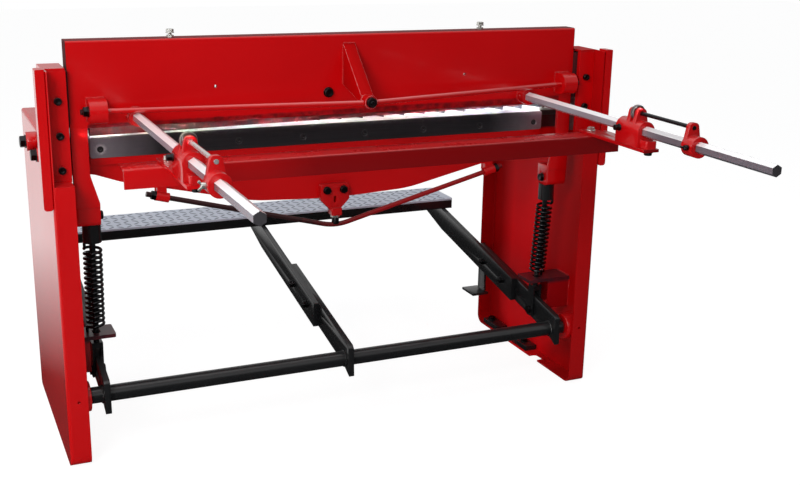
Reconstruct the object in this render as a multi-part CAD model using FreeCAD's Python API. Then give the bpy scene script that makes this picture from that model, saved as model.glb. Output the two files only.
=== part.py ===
import FreeCAD, Part
import math
import os

# Foot-operated guillotine shear. Millimetres, +Z up, floor at z = 0.
# +Y points away from the operator, +X is the operator's right hand.
# The origin lies on the floor, midway between the side frames.

V = FreeCAD.Vector
os.makedirs("parts", exist_ok=True)

# Side frames
BLADE_END_ROOM = 111.0      # blade end to the inner face of a side panel
SHEET = 6.0                 # pressed sheet
FLANGE = 54.0               # flange width with the panel's thickness
FRAME_HALF_DEPTH = 310.0
FRAME_LIP = 8.0             # side frame above the table
POST_H = 1040.0
POST_FRONT = 152.0
FOOT_R = 30.0               # rounded lower corners
BEND_R = 9.0
LEDGE_TOP = 757.0
ANCHOR_INSET = 28.0         # anchor hole from the panel's outer face
ANCHOR_HALF_Y = 135.0
ANCHOR_HOLE_R = 7.0
NOTCH_Y = (62.0, 112.0)
NOTCH_DEPTH = 26.0
SIGHT_HOLE_Z = 185.0
SIGHT_HOLE_R = 4.0
SIDE_BOLT_R = 7.0
SIDE_BOSS_Y = 40.0
SIDE_BOSS_DROP = 8.0        # below the table plate
SIDE_BOSS_R = 25.0
SIDE_BOSS_L = 27.0
SIDE_DISC_Y = 73.0
SIDE_DISC_DROP = 39.0
SIDE_DISC_R = 19.0
SIDE_DISC_L = 6.0
SIDE_BOLT_AF = 28.0
SIDE_BOLT_HEAD = 13.0
PADS_Y = ((-272.0, -172.0), (-66.0, 30.0))
PAD_BOLTS_Y = (-250.0, -20.0)
PAD_BOLT_R = 6.0
PAD_H = 16.0
PAD_EDGE = 4.0              # pad to the free edge of the flange

# Post bars, guides and gibs
BAR_T = 22.0
BAR_W = 38.0
BAR_BOTTOM = 700.0
BAR_TOP = 1045.0
GUIDE_REACH = 50.0          # guide bar width, from the panel inwards
GUIDE_FRONT_T = 37.6
GUIDE_BOTTOM = 790.0
GIB_T = 14.0
SHOE_T = 47.6
SLIDE_GAP = 0.4
GIB_SCREW_Z = (788.0, 874.0, 960.0)
GIB_SCREW_R = 5.0
GIB_HEAD_R = 9.5
GIB_HEAD_H = 9.0
GIB_SCREW_INSET = 27.0

# Bed
TABLE_TOP = 848.0
TABLE_T = 16.0
BED_FRONT = -290.0
BED_BACK = 147.0
BEAM_T = 25.0
SKIRT_T = 12.0
SKIRT_H = 84.0
BEAM_BOTTOM = 628.0
BEAM_SHOULDER_X = 235.0
BEAM_SHOULDER_Z = 640.0
BEAM_FLANK_ROOM = 189.0     # side panel to the beam's flank corner
BEAM_FLANK_Z = 722.0
BEAM_END_ROOM = 117.0
BEAM_BELLY_R = 2000.0
BEAM_SHOULDER_R = 400.0
BEAM_FLANK_R = 200.0
BEAM_END_R = 60.0
LIP_T = 10.0
LIP_H = 19.0

# Blades
BLADE_LEN = 1346.0
LOWER_BLADE_T = 12.0
LOWER_BLADE_H = 56.0
BLADE_CORNER_R = 7.0
UPPER_BLADE_T = 16.0
UPPER_BLADE_TOP = 935.0
BLADE_CLEARANCE = 0.3
BLADE_OPEN_LOW = 6.0        # gap above the table at the low end of the raked blade
BLADE_OPEN_HIGH = 24.0
BLADE_SCREWS = 8
BLADE_SCREW_INSET = 27.0
BLADE_SCREW_R = 5.0
BLADE_SCREW_HEAD_R = 9.0
BLADE_SCREW_LEN = 26.0

# Ram
RAM_SIDE_GAP = 6.0          # ram end to the guides
RAM_DEPTH = 54.7
RAM_BOTTOM = 885.0
RAM_TOP = 1102.0
RAM_PLATE = 12.0
RAM_BAR_H = 40.0
SHOE_BOTTOM = 900.0
SHOE_TOP = 1030.0
SHOE_SIDE_GAP = 8.0
SMALL_HOLES = ((356.0, 976.0), (-369.0, 980.0))
LEG_SIDE_GAP = 6.0          # leg to the guides
LEG_W = 42.0
LEG_BOSS_REACH = 21.0       # boss past the leg's inner edge
LEG_BOTTOM = 628.0
LEG_BOSS_TOP = 690.0
LEG_FLARE_TOP = 764.0
LEG_BOSS_FRONT = 168.0
LEG_BOSS_STEP = 2.0         # boss in from the leg's rear face
LEG_BOSS_ROUND = 17.0
LEG_PLATE_BOTTOM = 678.0
LINK_INSET = 43.0           # link axis from the leg's outer face
LINK_TOP_Y = 195.0
LINK_TOP_Z = 650.0
LINK_PIN_R = 8.0
LIFT_BOLTS_X = (464.0, -426.0)
LIFT_BOLT_R = 5.0
LIFT_BOLT_OUT = 12.0
FACE_BOLT = (45.0, 947.0)
FACE_BOLT_R = 7.0
FACE_BOLT_DEPTH = 9.0
SMALL_HOLE_R = 4.0

# Ram truss
LUG_R = 30.0
LUG_W = 44.0
LUG_ROOM = ((64.0, 931.0), (38.0, 944.0))   # from the ram's right and left end, and height
LUG_Y_GAP = 30.0            # rod centre behind the ram's rear face
TRUSS_STUB = 19.0           # rod past its lug
TRUSS_ROD_R = 7.0
TRUSS_NUT_AF = 23.0
TRUSS_NUT_H = 10.0
WASHER_T = 2.5
APEX_X = -14.0
APEX_Y = 378.0
APEX_Z = 938.0
GUSSET_W = 34.0
GUSSET_T = 5.0
GUSSET_TOP = 1077.0
GUSSET_BOTTOM = 967.0
CLAMP_R = 17.0
CLAMP_RISE = 3.0            # clamp axis above the rod's bend
CLAMP_NUT_AF = 24.0
CLAMP_NUT_H = 9.0
ROD_BEND_R = 150.0
LUG_BEND_R = 100.0

# Bed truss
BED_LUG_ROOM = 291.0        # side panel to the lug
BED_LUG_Z = 678.0
BED_ROD_Y = 168.0
BED_APEX_Z = 551.0
BED_LUG_R = 13.0
BED_LUG_HALF = 18.0
BED_LUG_WEB_H = 48.0
BED_STUB = 44.0             # rod's end from the lug's centre
BRACKET_TOP = 674.0
BRACKET_BOTTOM = 585.0
BRACKET_W = 86.0
BRACKET_T = 20.0
NOSE_W = 30.0
BRACKET_BOLT_X = 25.0
BRACKET_BOLT_Z = 657.0
BRACKET_BOLT_R = 6.0
BRACKET_THREAD = 15.0
LOCK_NUT_R = 13.0
LOCK_NUT_H = 7.0
JACK_R = 10.5
JACK_THREAD_R = 7.0
JACK_THREAD_L = 26.0

# Treadle
TREADLE_Y = 260.0
TREADLE_Z = 178.0
SHAFT_R = 22.0
SHAFT_END_GAP = 3.0         # thick part of the shaft to a bearing
JOURNAL_R = 14.0
JOURNAL_GAP = 4.0
BEARING_R = 40.0
BEARING_L = 59.0
FIT = 0.05                  # running fit on a radius
ARM_T = 16.0
ARM_HALF_H = 37.5
ARM_RISE = 20.0             # arm centre line above the shaft's centre
ARM_SLOPE = 0.2
ARM_LAP_FRONT = -205.0
ARM_LAP_BACK = 50.0
TAIL_Y = 304.0
TAIL_Z = 138.0
TREAD_TOP = 420.0
TREAD_T = 6.0
TREAD_PAST_LINK = 20.0
TREAD_BACK = -478.0
TREAD_FRONT = -655.0
ARM_BOLT_Y = (-150.0, -20.0)
ARM_BOLT_R = 6.0
PIN_Y = 150.0               # lower link pin
PIN_Z = 205.0
PIN_PLAY = 2.0              # open pivot: slack of the clevis on its pin
STOP_FOOT_Y = (-222.0, -140.0)
STOP_FOOT_REACH = 55.0      # plate inwards from the upright's inner face
STOP_FOOT_T = 8.0
STOP_FOOT_Z = 161.0
STOP_FOOT_W = 44.0

# Links, springs and shelves
LINK_ROD_R = 8.0
EYE_R = 16.0
EYE_T = 18.0
CLEVIS_T = 6.0
CLEVIS_GAP = 1.0
CLEVIS_TOP = 290.0
CLEVIS_HALF_Y = 15.0
CLEVIS_CHIN = 19.0          # cheek past the pin
SPRING_WIRE = 8.0
SPRING_R = 21.5
SPRING_TURNS = 16
CUP_R = 24.0
CUP_H = 50.0
CUP_BORE_R = 13.0
SHELF_TOP = 320.0
SHELF_T = 10.0
SHELF_PAST_LINK = 47.0
SHELF_Y = (120.0, 200.0)
SHELF_WEB_H = 90.0
SHELF_WEB_T = 6.0

# Hold-down
FINGER_PITCH = 65.0
FINGER_W = 55.0
FINGER_LIFT = 5.0
HOLD_BAR_Y = (95.0, 135.0)
HOLD_BAR_Z = (886.0, 950.0)
FINGER_Y = (118.0, 143.0)
FINGER_SKEW = 12.0          # slant of a finger's rear face, seen from above
HOLD_PIN_INSET = 24.0       # pin from the leg's outer face
HOLD_PIN_Y = 110.0
HOLD_PIN_R = 6.0
HOLD_PIN_PLAY = 0.3
HOLD_PIN_L = 66.0
HOLD_HEAD_R = 10.0
HOLD_HEAD_H = 7.0
HOLD_LUG_Z = 870.0
HOLD_LUG_T = 16.0
HOLD_SPRING_R = 9.0
HOLD_SPRING_WIRE = 2.0
HOLD_SPRING_TURNS = 4

# Back gauge
ROD_INSET = 163.0           # rod from the ram's end
ROD_Z = 910.0
ROD_AF = 24.0
ROD_END = 1292.0
ROD_SPIGOT_R = 8.0
ROD_SPIGOT_L = 10.0
ROD_BOSS_R = 22.5
ROD_BOSS_L = 32.0
CASTING_R = 25.0
CASTING_Y = (736.0, 832.0)
CASTING_TOE = 858.0
CASTING_PLAY = 0.3
EAR_Z = 952.0
EAR_R = 12.0
EAR_T = 12.0
WHEEL_R = 19.0
WHEEL_T = 12.2
WHEEL_Y = 784.4
WHEEL_GAP = 0.4
SCREW_R = 5.0
SCREW_PAST = 1.0            # adjusting screw past its rear ear
CLAMP_BOLT_R = 5.0
CLAMP_BOLT_BACK = 17.0      # clamp bolt from the casting's front face
TOE_H = 20.0
TOE_HALF_W = 16.0
TOE_BOLT_BACK = 13.0        # arm bolt from the toe's end
ARM_BOLT_BACK = 30.0        # arm bolt from the bar's front edge
GAUGE_BOLT_R = 5.0
GAUGE_BOLT_AF = 17.0
CLAMP_Y = (1000.0, 1038.0)
GAUGE_PAST_ROD = (108.0, 64.0)   # bar past the right and the left rod
GAUGE_LIP_TOP = 863.0
GAUGE_T = 6.0
GAUGE_Y = (560.0, 630.0)
GAUGE_DROP = 46.0
GAUGE_ARM_W = 45.0
GAUGE_ARM_T = 8.0
WING_Y = 1025.0
WING_SPAN = 24.0
WING_REACH = 17.0           # wing tips from the clamp
WING_TURN = (0.0, 80.0)     # right and left screw as they are left
WING_SHANK_R = 4.0
WING_T = 4.0

# Values worked out from the sizes above
PANEL_IN = BLADE_LEN / 2.0 + BLADE_END_ROOM     # centre plane to the inner face of a side panel
PANEL_OUT = PANEL_IN + SHEET
FLANGE_EDGE = PANEL_OUT - FLANGE
FRAME_H = TABLE_TOP + FRAME_LIP
GUIDE_IN = PANEL_IN - GUIDE_REACH
RAM_HALF = GUIDE_IN - RAM_SIDE_GAP
ROD_X = RAM_HALF - ROD_INSET
GAUGE_RIGHT = ROD_X + GAUGE_PAST_ROD[0]
GAUGE_LEFT = -ROD_X - GAUGE_PAST_ROD[1]
LEG_OUT = GUIDE_IN - LEG_SIDE_GAP
LEG_IN = LEG_OUT - LEG_W
LEG_BOSS_IN = LEG_IN - LEG_BOSS_REACH
LINK_X = LEG_OUT - LINK_INSET
HOLD_PIN_X = LEG_OUT - HOLD_PIN_INSET
SHELF_IN = LINK_X - SHELF_PAST_LINK
TREAD_HALF = LINK_X + TREAD_PAST_LINK
BED_LUG_X = PANEL_IN - BED_LUG_ROOM
FINGERS = int(BLADE_LEN // FINGER_PITCH) + 1
BEARING_IN = PANEL_IN - BEARING_L
SHAFT_HALF = BEARING_IN - SHAFT_END_GAP
GUIDE_FRONT = POST_FRONT + SHEET
SHOE_FRONT = GUIDE_FRONT + GUIDE_FRONT_T + SLIDE_GAP
GIB_FRONT = SHOE_FRONT + SHOE_T + SLIDE_GAP
GIB_BACK = GIB_FRONT + GIB_T
TABLE_BOTTOM = TABLE_TOP - TABLE_T
SKIRT_BOTTOM = TABLE_BOTTOM - SKIRT_H
BLADE_BOTTOM = TABLE_TOP - LOWER_BLADE_H
UPPER_BLADE_FRONT = BED_BACK + LOWER_BLADE_T + BLADE_CLEARANCE
RAM_FRONT = UPPER_BLADE_FRONT + UPPER_BLADE_T
RAM_BACK = RAM_FRONT + RAM_DEPTH
RAM_ROD_Y = RAM_BACK + LUG_Y_GAP
BLADE_SCREW_PITCH = (BLADE_LEN - 2.0 * BLADE_SCREW_INSET) / (BLADE_SCREWS - 1)
RAM_LUGS = ((RAM_HALF - LUG_ROOM[0][0], LUG_ROOM[0][1]), (LUG_ROOM[1][0] - RAM_HALF, LUG_ROOM[1][1]))
SCREW_BACK = CLAMP_Y[0] + EAR_T + SCREW_PAST
SIDE_BOLT_SPOTS = ((SIDE_BOSS_Y, TABLE_BOTTOM - SIDE_BOSS_DROP), (SIDE_DISC_Y, TABLE_BOTTOM - SIDE_DISC_DROP))


def box(x0, x1, y0, y1, z0, z1):
    return Part.makeBox(x1 - x0, y1 - y0, z1 - z0, V(x0, y0, z0))


def rod(start, direction, radius, length):
    """Cylinder from a start point along a direction."""
    return Part.makeCylinder(radius, length, start, direction)


def fuse(first, *others):
    return first.multiFuse(list(others)).removeSplitter()


def cut(shape, *tools):
    for tool in tools:
        shape = shape.cut(tool)
    return shape


def mirrored(shape):
    return shape.mirror(V(0, 0, 0), V(1, 0, 0))


def both_sides(shape):
    return [shape, mirrored(shape)]


def prism(points, place, thickness):
    """Extrude an outline of (u, v) or (u, v, corner radius) points."""
    flat = [V(p[0], p[1], 0) for p in points]
    edges = []
    joints = []
    for i, corner in enumerate(points):
        here = flat[i]
        radius = corner[2] if len(corner) > 2 else 0.0
        if radius == 0.0:
            joints.append((here, here, None))
            continue
        back = (flat[i - 1] - here).normalize()
        ahead = (flat[(i + 1) % len(flat)] - here).normalize()
        half = back.getAngle(ahead) / 2.0
        reach = radius / math.tan(half)
        middle_way = (back + ahead).normalize()
        middle = here + middle_way * (radius / math.sin(half) - radius)
        joints.append((here + back * reach, here + ahead * reach, middle))
    for i, (start, end, middle) in enumerate(joints):
        if middle is not None:
            edges.append(Part.Arc(place(start), place(middle), place(end)).toShape())
        following = joints[(i + 1) % len(joints)][0]
        if (following - end).Length > 1e-6:
            edges.append(Part.makeLine(place(end), place(following)))
    return Part.Face(Part.Wire(edges)).extrude(thickness)


def along_x(points, x0, x1):
    """Outline in Y and Z, extruded from x0 to x1."""
    return prism(points, lambda p: V(x0, p.x, p.y), V(x1 - x0, 0, 0))


def along_y(points, y0, y1):
    """Outline in X and Z, extruded from y0 to y1."""
    return prism(points, lambda p: V(p.x, y0, p.y), V(0, y1 - y0, 0))


def along_z(points, z0, z1):
    """Outline in X and Y, extruded from z0 to z1."""
    return prism(points, lambda p: V(p.x, p.y, z0), V(0, 0, z1 - z0))


def hexagon(start, direction, across_flats, length, turn=0.0):
    """Hexagonal bar; turn rotates its corners about the axis."""
    radius = across_flats / math.sqrt(3.0)
    axis = V(direction).normalize()
    side = V(0, 0, 1) if abs(axis.z) < 0.9 else V(1, 0, 0)
    across = axis.cross(side).normalize()
    up = across.cross(axis).normalize()
    corners = []
    for i in range(7):
        angle = math.radians(60.0 * i + turn)
        corners.append(start + across * (radius * math.cos(angle)) + up * (radius * math.sin(angle)))
    return Part.Face(Part.makePolygon(corners)).extrude(axis * length)


def bolt_head(seat, direction, across_flats, head_h, washer_r, washer_h):
    """Hex head on a round washer, both seated at one point."""
    axis = V(direction).normalize()
    washer = rod(seat, axis, washer_r, washer_h)
    head = hexagon(seat + axis * washer_h, axis, across_flats, head_h)
    return fuse(washer, head)


def socket_screw(seat, direction, head_r, head_h, shank_r, shank_l):
    """Socket head screw: the head stands along direction, the shank runs the other way."""
    axis = V(direction).normalize()
    head = rod(seat, axis, head_r, head_h)
    shank = rod(seat - axis * shank_l, axis, shank_r, shank_l)
    socket = hexagon(seat + axis * (head_h * 0.5), axis, head_r * 0.95, head_h)
    return cut(fuse(head, shank), socket)


def countersunk(face, direction, head_r, shank_r, length):
    """Countersunk screw flush with a face; direction points into the work."""
    axis = V(direction).normalize()
    depth = head_r - shank_r
    cone = Part.makeCone(head_r, shank_r, depth, face, axis)
    return fuse(cone, rod(face + axis * depth, axis, shank_r, length - depth))


def bent_rod(points, radii, radius):
    """Round rod along straight runs joined by tangent arcs."""
    edges = []
    here = points[0]
    for i in range(1, len(points) - 1):
        corner = points[i]
        back = (points[i - 1] - corner).normalize()
        ahead = (points[i + 1] - corner).normalize()
        half = back.getAngle(ahead) / 2.0
        reach = radii[i - 1] / math.tan(half)
        middle_way = (back + ahead).normalize()
        middle = corner + middle_way * (radii[i - 1] / math.sin(half) - radii[i - 1])
        edges.append(Part.makeLine(here, corner + back * reach))
        edges.append(Part.Arc(corner + back * reach, middle, corner + ahead * reach).toShape())
        here = corner + ahead * reach
    edges.append(Part.makeLine(here, points[-1]))
    return tube_on(Part.Wire(edges), points[0], points[1] - points[0], radius)


def tube_on(path, start, direction, radius):
    """Solid round tube swept along a path of lines and arcs."""
    circle = Part.Edge(Part.Circle(start, direction, radius))
    shell = Part.BRepOffsetAPI.MakePipeShell(path)
    shell.add(Part.Wire([circle]))
    shell.build()
    shell.makeSolid()
    return shell.shape()


def biarc(p0, t0, p1, t1):
    """Two tangent arcs that join two points with given directions."""
    chord = p1 - p0
    both = t0 + t1
    spread = 2.0 * (1.0 - t0.dot(t1))
    if spread < 1e-9:
        return [Part.makeLine(p0, p1)]
    along = chord.dot(both)
    reach = (-along + math.sqrt(along * along + spread * chord.dot(chord))) / spread
    middle = (p0 + p1 + (t0 - t1) * reach) * 0.5
    return [arc_from(p0, t0, middle), arc_from(p1, t1 * -1.0, middle, True)]


def arc_from(start, tangent, end, backwards=False):
    """Arc that leaves start along tangent and reaches end."""
    chord = end - start
    normal = (chord - tangent * chord.dot(tangent)).normalize()
    radius = chord.dot(chord) / (2.0 * chord.dot(normal))
    centre = start + normal * radius
    way = ((start - centre) + (end - centre)).normalize()
    middle = centre + way * radius
    if backwards:
        return Part.Arc(end, middle, start).toShape()
    return Part.Arc(start, middle, end).toShape()


def spring(bottom, top, mean_r, wire, turns, name):
    """Helical spring between two seats; its ends stand square on the seats."""
    bend = wire * 1.15
    low = V(bottom)
    high = V(top)
    lean = (high - low) * (1.0 / (high.z - low.z))
    rise = wire + bend
    first = low + lean * rise
    span = lean * (high.z - low.z - 2.0 * rise)
    knots = []
    steps = turns * 4
    for i in range(steps + 1):
        angle = math.pi / 2.0 * i
        spoke = V(math.cos(angle), math.sin(angle), 0) * mean_r
        way = V(-math.sin(angle), math.cos(angle), 0) * mean_r + span * (1.0 / (2.0 * math.pi * turns))
        knots.append((first + span * (i / steps) + spoke, way.normalize()))
    up = V(0, 0, 1)
    start = knots[0][0] - V(0, bend, rise)
    start.z = low.z
    finish = knots[-1][0] + V(0, bend, rise)
    finish.z = high.z
    knots.insert(0, (start + up * wire, up))
    knots.append((finish - up * wire, up))
    edges = [Part.makeLine(start, knots[0][0])]
    for (p0, t0), (p1, t1) in zip(knots, knots[1:]):
        edges.extend(biarc(p0, t0, p1, t1))
    edges.append(Part.makeLine(knots[-1][0], finish))
    print_least_gap(edges, wire, mean_r, name)
    return tube_on(Part.Wire(edges), start, up, wire / 2.0)


def print_least_gap(edges, wire, mean_r, name):
    """Measure the least gap between one turn of a tube and the next."""
    points = []
    lengths = []
    run = 0.0
    for edge in edges:
        for point in edge.discretize(5)[:-1]:
            if points:
                run += (point - points[-1]).Length
            points.append(point)
            lengths.append(run)
    least = None
    for i, point in enumerate(points):
        for j in range(i + 1, len(points)):
            if lengths[j] - lengths[i] < math.pi * mean_r:
                continue
            if lengths[j] - lengths[i] > 3.0 * math.pi * mean_r:
                break
            gap = (points[j] - point).Length - wire
            if least is None or gap < least:
                least = gap
    print(name, "least gap to itself", round(least, 2), "mm")


def export(name, *solids):
    shape = solids[0] if len(solids) == 1 else Part.makeCompound(list(solids))
    for solid in shape.Solids:
        if not solid.isValid():
            print("NOT VALID", name)
    print(name, len(shape.Solids), "solids", round(shape.Volume / 1000.0, 1), "cm3")
    shape.exportStep("parts/%s.step" % name)


# Side frames, posts and guides


def side_bolts(y, z):
    """Seat line of a bolt through the side panel into the bed's end plate."""
    return rod(V(PANEL_IN - SKIRT_T, y, z), V(1, 0, 0), SIDE_BOLT_R, SHEET + SKIRT_T)


def side_frame():
    half = FRAME_HALF_DEPTH
    outer = along_x([(-half, 0, FOOT_R), (half, 0, FOOT_R), (half, POST_H, 4), (POST_FRONT, POST_H, 6),
                     (POST_FRONT, FRAME_H), (-half, FRAME_H, BEND_R)], FLANGE_EDGE, PANEL_OUT)
    plan = along_z([(FLANGE_EDGE - 1, -half), (PANEL_OUT, -half, BEND_R), (PANEL_OUT, half, BEND_R),
                    (FLANGE_EDGE - 1, half)], -1, POST_H + 1)
    outer = outer.common(plan)
    roll = box(PANEL_OUT - BEND_R, PANEL_OUT + 1, -half, POST_FRONT, FRAME_H - BEND_R, FRAME_H + 1)
    roll = roll.cut(rod(V(PANEL_OUT - BEND_R, -half, FRAME_H - BEND_R), V(0, 1, 0), BEND_R,
                        half + POST_FRONT))
    outer = outer.cut(roll)
    inner = half - SHEET
    pocket = along_x([(-inner, SHEET, FOOT_R - SHEET), (inner, SHEET, FOOT_R - SHEET),
                      (inner, LEDGE_TOP - SHEET), (GIB_FRONT, LEDGE_TOP - SHEET),
                      (GIB_FRONT, FRAME_H - SHEET), (-inner, FRAME_H - SHEET)], FLANGE_EDGE - 1, PANEL_IN)
    inner_plan = along_z([(FLANGE_EDGE - 2, -inner), (PANEL_IN, -inner, BEND_R - SHEET),
                          (PANEL_IN, inner, BEND_R - SHEET), (FLANGE_EDGE - 2, inner)], -1, POST_H + 1)
    pocket = pocket.common(inner_plan)
    post_pocket = box(FLANGE_EDGE - 1, PANEL_IN, GUIDE_FRONT, half + 1, LEDGE_TOP, POST_H - SHEET)
    cap_end = box(FLANGE_EDGE - 1, PANEL_IN, GIB_BACK, half + 1, POST_H - SHEET - 1, POST_H + 1)
    deep = FLANGE_EDGE + NOTCH_DEPTH
    notch = along_z([(FLANGE_EDGE - 1, NOTCH_Y[0]), (deep, NOTCH_Y[0], 12), (deep, NOTCH_Y[1], 12),
                     (FLANGE_EDGE - 1, NOTCH_Y[1])], -1, SHEET + 1)
    frame = cut(outer, pocket, post_pocket, cap_end, notch)
    for y in (-ANCHOR_HALF_Y, ANCHOR_HALF_Y):
        frame = frame.cut(rod(V(PANEL_OUT - ANCHOR_INSET, y, -1), V(0, 0, 1), ANCHOR_HOLE_R, SHEET + 2))
    hole_x = (FLANGE_EDGE + PANEL_IN) / 2.0
    frame = frame.cut(rod(V(hole_x, inner - 1, SIGHT_HOLE_Z), V(0, 1, 0), SIGHT_HOLE_R, SHEET + 2))
    for y, z in SIDE_BOLT_SPOTS:
        frame = frame.cut(side_bolts(y, z))
    for spot in pad_bolt_spots():
        frame = frame.cut(rod(V(spot[0], spot[1], -1), V(0, 0, 1), PAD_BOLT_R, SHEET + 2))
    return frame


def pad_bolt_spots():
    x = PANEL_OUT - ANCHOR_INSET
    return [(x, y) for y in PAD_BOLTS_Y]


def anchor_pads():
    pads = []
    for low, high in PADS_Y:
        pad = box(FLANGE_EDGE + PAD_EDGE, PANEL_IN - (BEND_R - SHEET), low, high, SHEET, SHEET + PAD_H)
        for spot in pad_bolt_spots():
            pad = pad.cut(rod(V(spot[0], spot[1], 0), V(0, 0, 1), PAD_BOLT_R, SHEET + PAD_H + 1))
        pads.extend(both_sides(pad))
    return pads


def post_bar():
    return along_y([(PANEL_OUT, BAR_BOTTOM, 6), (PANEL_OUT + BAR_T, BAR_BOTTOM, 8),
                    (PANEL_OUT + BAR_T, BAR_TOP, 3), (PANEL_OUT, BAR_TOP)],
                   FRAME_HALF_DEPTH - BAR_W, FRAME_HALF_DEPTH)


def front_guide():
    return box(GUIDE_IN, PANEL_IN, GUIDE_FRONT, GUIDE_FRONT + GUIDE_FRONT_T, GUIDE_BOTTOM, POST_H - SHEET)


def gib_screws():
    screws = []
    for z in GIB_SCREW_Z:
        seat = V(PANEL_IN - GIB_SCREW_INSET, GIB_BACK, z)
        screws.append(socket_screw(seat, V(0, 1, 0), GIB_HEAD_R, GIB_HEAD_H, GIB_SCREW_R, GIB_T - SLIDE_GAP))
    return screws


def rear_gib():
    return cut(box(GUIDE_IN, PANEL_IN, GIB_FRONT, GIB_BACK, LEDGE_TOP, POST_H - SHEET), *gib_screws())


def side_boss():
    y, z = SIDE_BOLT_SPOTS[0]
    boss = rod(V(PANEL_OUT, y, z), V(1, 0, 0), SIDE_BOSS_R, SIDE_BOSS_L)
    bore = rod(V(PANEL_OUT, y, z), V(1, 0, 0), SIDE_BOLT_R, SIDE_BOSS_L)
    y, z = SIDE_BOLT_SPOTS[1]
    disc = rod(V(PANEL_OUT, y, z), V(1, 0, 0), SIDE_DISC_R, SIDE_DISC_L)
    return boss.cut(bore), disc.cut(rod(V(PANEL_OUT, y, z), V(1, 0, 0), SIDE_BOLT_R, SIDE_DISC_L))


def frame_bolts():
    bolts = []
    for (y, z), stand in zip(SIDE_BOLT_SPOTS, (SIDE_BOSS_L, SIDE_DISC_L)):
        head = bolt_head(V(PANEL_OUT + stand, y, z), V(1, 0, 0), SIDE_BOLT_AF, SIDE_BOLT_HEAD,
                         SIDE_DISC_R - 1.0, WASHER_T)
        shank = rod(V(PANEL_IN - SKIRT_T, y, z), V(1, 0, 0), SIDE_BOLT_R, SHEET + SKIRT_T + stand)
        bolts.extend(both_sides(fuse(head, shank)))
    for x, y in pad_bolt_spots():
        head = bolt_head(V(x, y, SHEET + PAD_H), V(0, 0, 1), 20.0, 8.0, 14.0, 2.0)
        shank = rod(V(x, y, 0.5), V(0, 0, 1), PAD_BOLT_R, SHEET + PAD_H - 0.5)
        bolts.extend(both_sides(fuse(head, shank)))
    head = bolt_head(V(BRACKET_BOLT_X, BED_BACK + BRACKET_T, BRACKET_BOLT_Z), V(0, 1, 0), 19.0, 8.0, 11.5, 2.0)
    bolts.extend(both_sides(fuse(head, bracket_shank())))
    return bolts


# Bed, lower blade and bed truss


def bed_table():
    return box(-PANEL_IN, PANEL_IN, BED_FRONT, BED_BACK, TABLE_BOTTOM, TABLE_TOP)


def blade_screws(z, face, direction):
    start = -BLADE_LEN / 2.0 + BLADE_SCREW_INSET
    return [countersunk(V(start + i * BLADE_SCREW_PITCH, face, z), direction, BLADE_SCREW_HEAD_R,
                        BLADE_SCREW_R, BLADE_SCREW_LEN) for i in range(BLADE_SCREWS)]


def lower_screws():
    return blade_screws(BLADE_BOTTOM + 0.4 * LOWER_BLADE_H, BED_BACK + LOWER_BLADE_T, V(0, -1, 0))


def bracket_shank():
    return rod(V(BRACKET_BOLT_X, BED_BACK - BRACKET_THREAD, BRACKET_BOLT_Z), V(0, 1, 0), BRACKET_BOLT_R,
               BRACKET_T + BRACKET_THREAD)


def bed_lug_way():
    return V(BED_LUG_X, 0, BED_LUG_Z - BED_APEX_Z).normalize()


def bed_beam():
    end = PANEL_IN - SKIRT_T
    right = [(BEAM_SHOULDER_X, BEAM_SHOULDER_Z, BEAM_SHOULDER_R),
             (PANEL_IN - BEAM_FLANK_ROOM, BEAM_FLANK_Z, BEAM_FLANK_R),
             (PANEL_IN - BEAM_END_ROOM, SKIRT_BOTTOM, BEAM_END_R), (end, SKIRT_BOTTOM)]
    left = [(-p[0],) + tuple(p[1:]) for p in reversed(right)]
    outline = left + [(0, BEAM_BOTTOM, BEAM_BELLY_R)] + right + [(end, TABLE_BOTTOM), (-end, TABLE_BOTTOM)]
    beam = along_y(outline, BED_BACK - BEAM_T, BED_BACK)
    lip = box(-BLADE_LEN / 2, BLADE_LEN / 2, BED_BACK, BED_BACK + LIP_T, BLADE_BOTTOM - LIP_H, BLADE_BOTTOM)
    way = bed_lug_way()
    lug = rod(V(BED_LUG_X, BED_ROD_Y, BED_LUG_Z) - way * BED_LUG_HALF, way, BED_LUG_R, 2.0 * BED_LUG_HALF)
    web = box(BED_LUG_X - BED_LUG_R, BED_LUG_X + BED_LUG_R, BED_BACK, BED_ROD_Y,
              BED_LUG_Z, BED_LUG_Z + BED_LUG_WEB_H)
    lug = fuse(lug, web)
    beam = fuse(beam, lip, lug, mirrored(lug))
    bolts = both_sides(bracket_shank())
    return cut(beam, bed_truss_rod(FIT), *bolts, *lower_screws())


def lower_blade():
    half = BLADE_LEN / 2.0
    corner = BLADE_CORNER_R
    blade = along_y([(-half, BLADE_BOTTOM, corner), (half, BLADE_BOTTOM, corner), (half, TABLE_TOP, corner),
                     (-half, TABLE_TOP, corner)], BED_BACK, BED_BACK + LOWER_BLADE_T)
    return cut(blade, *lower_screws())


def bed_skirt():
    apron = box(-(PANEL_IN - SKIRT_T), PANEL_IN - SKIRT_T, BED_FRONT, BED_FRONT + SKIRT_T,
                SKIRT_BOTTOM, TABLE_BOTTOM)
    end = box(PANEL_IN - SKIRT_T, PANEL_IN, BED_FRONT, BED_BACK, SKIRT_BOTTOM, TABLE_BOTTOM)
    for y, z in SIDE_BOLT_SPOTS:
        end = end.cut(side_bolts(y, z))
    return [apron] + both_sides(end)


def bed_truss_rod(extra=0.0):
    way = bed_lug_way()
    end = V(BED_LUG_X, BED_ROD_Y, BED_LUG_Z) + way * BED_STUB
    other = V(-end.x, end.y, end.z)
    return bent_rod([end, V(0, BED_ROD_Y, BED_APEX_Z), other], [ROD_BEND_R], TRUSS_ROD_R + extra)


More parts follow.
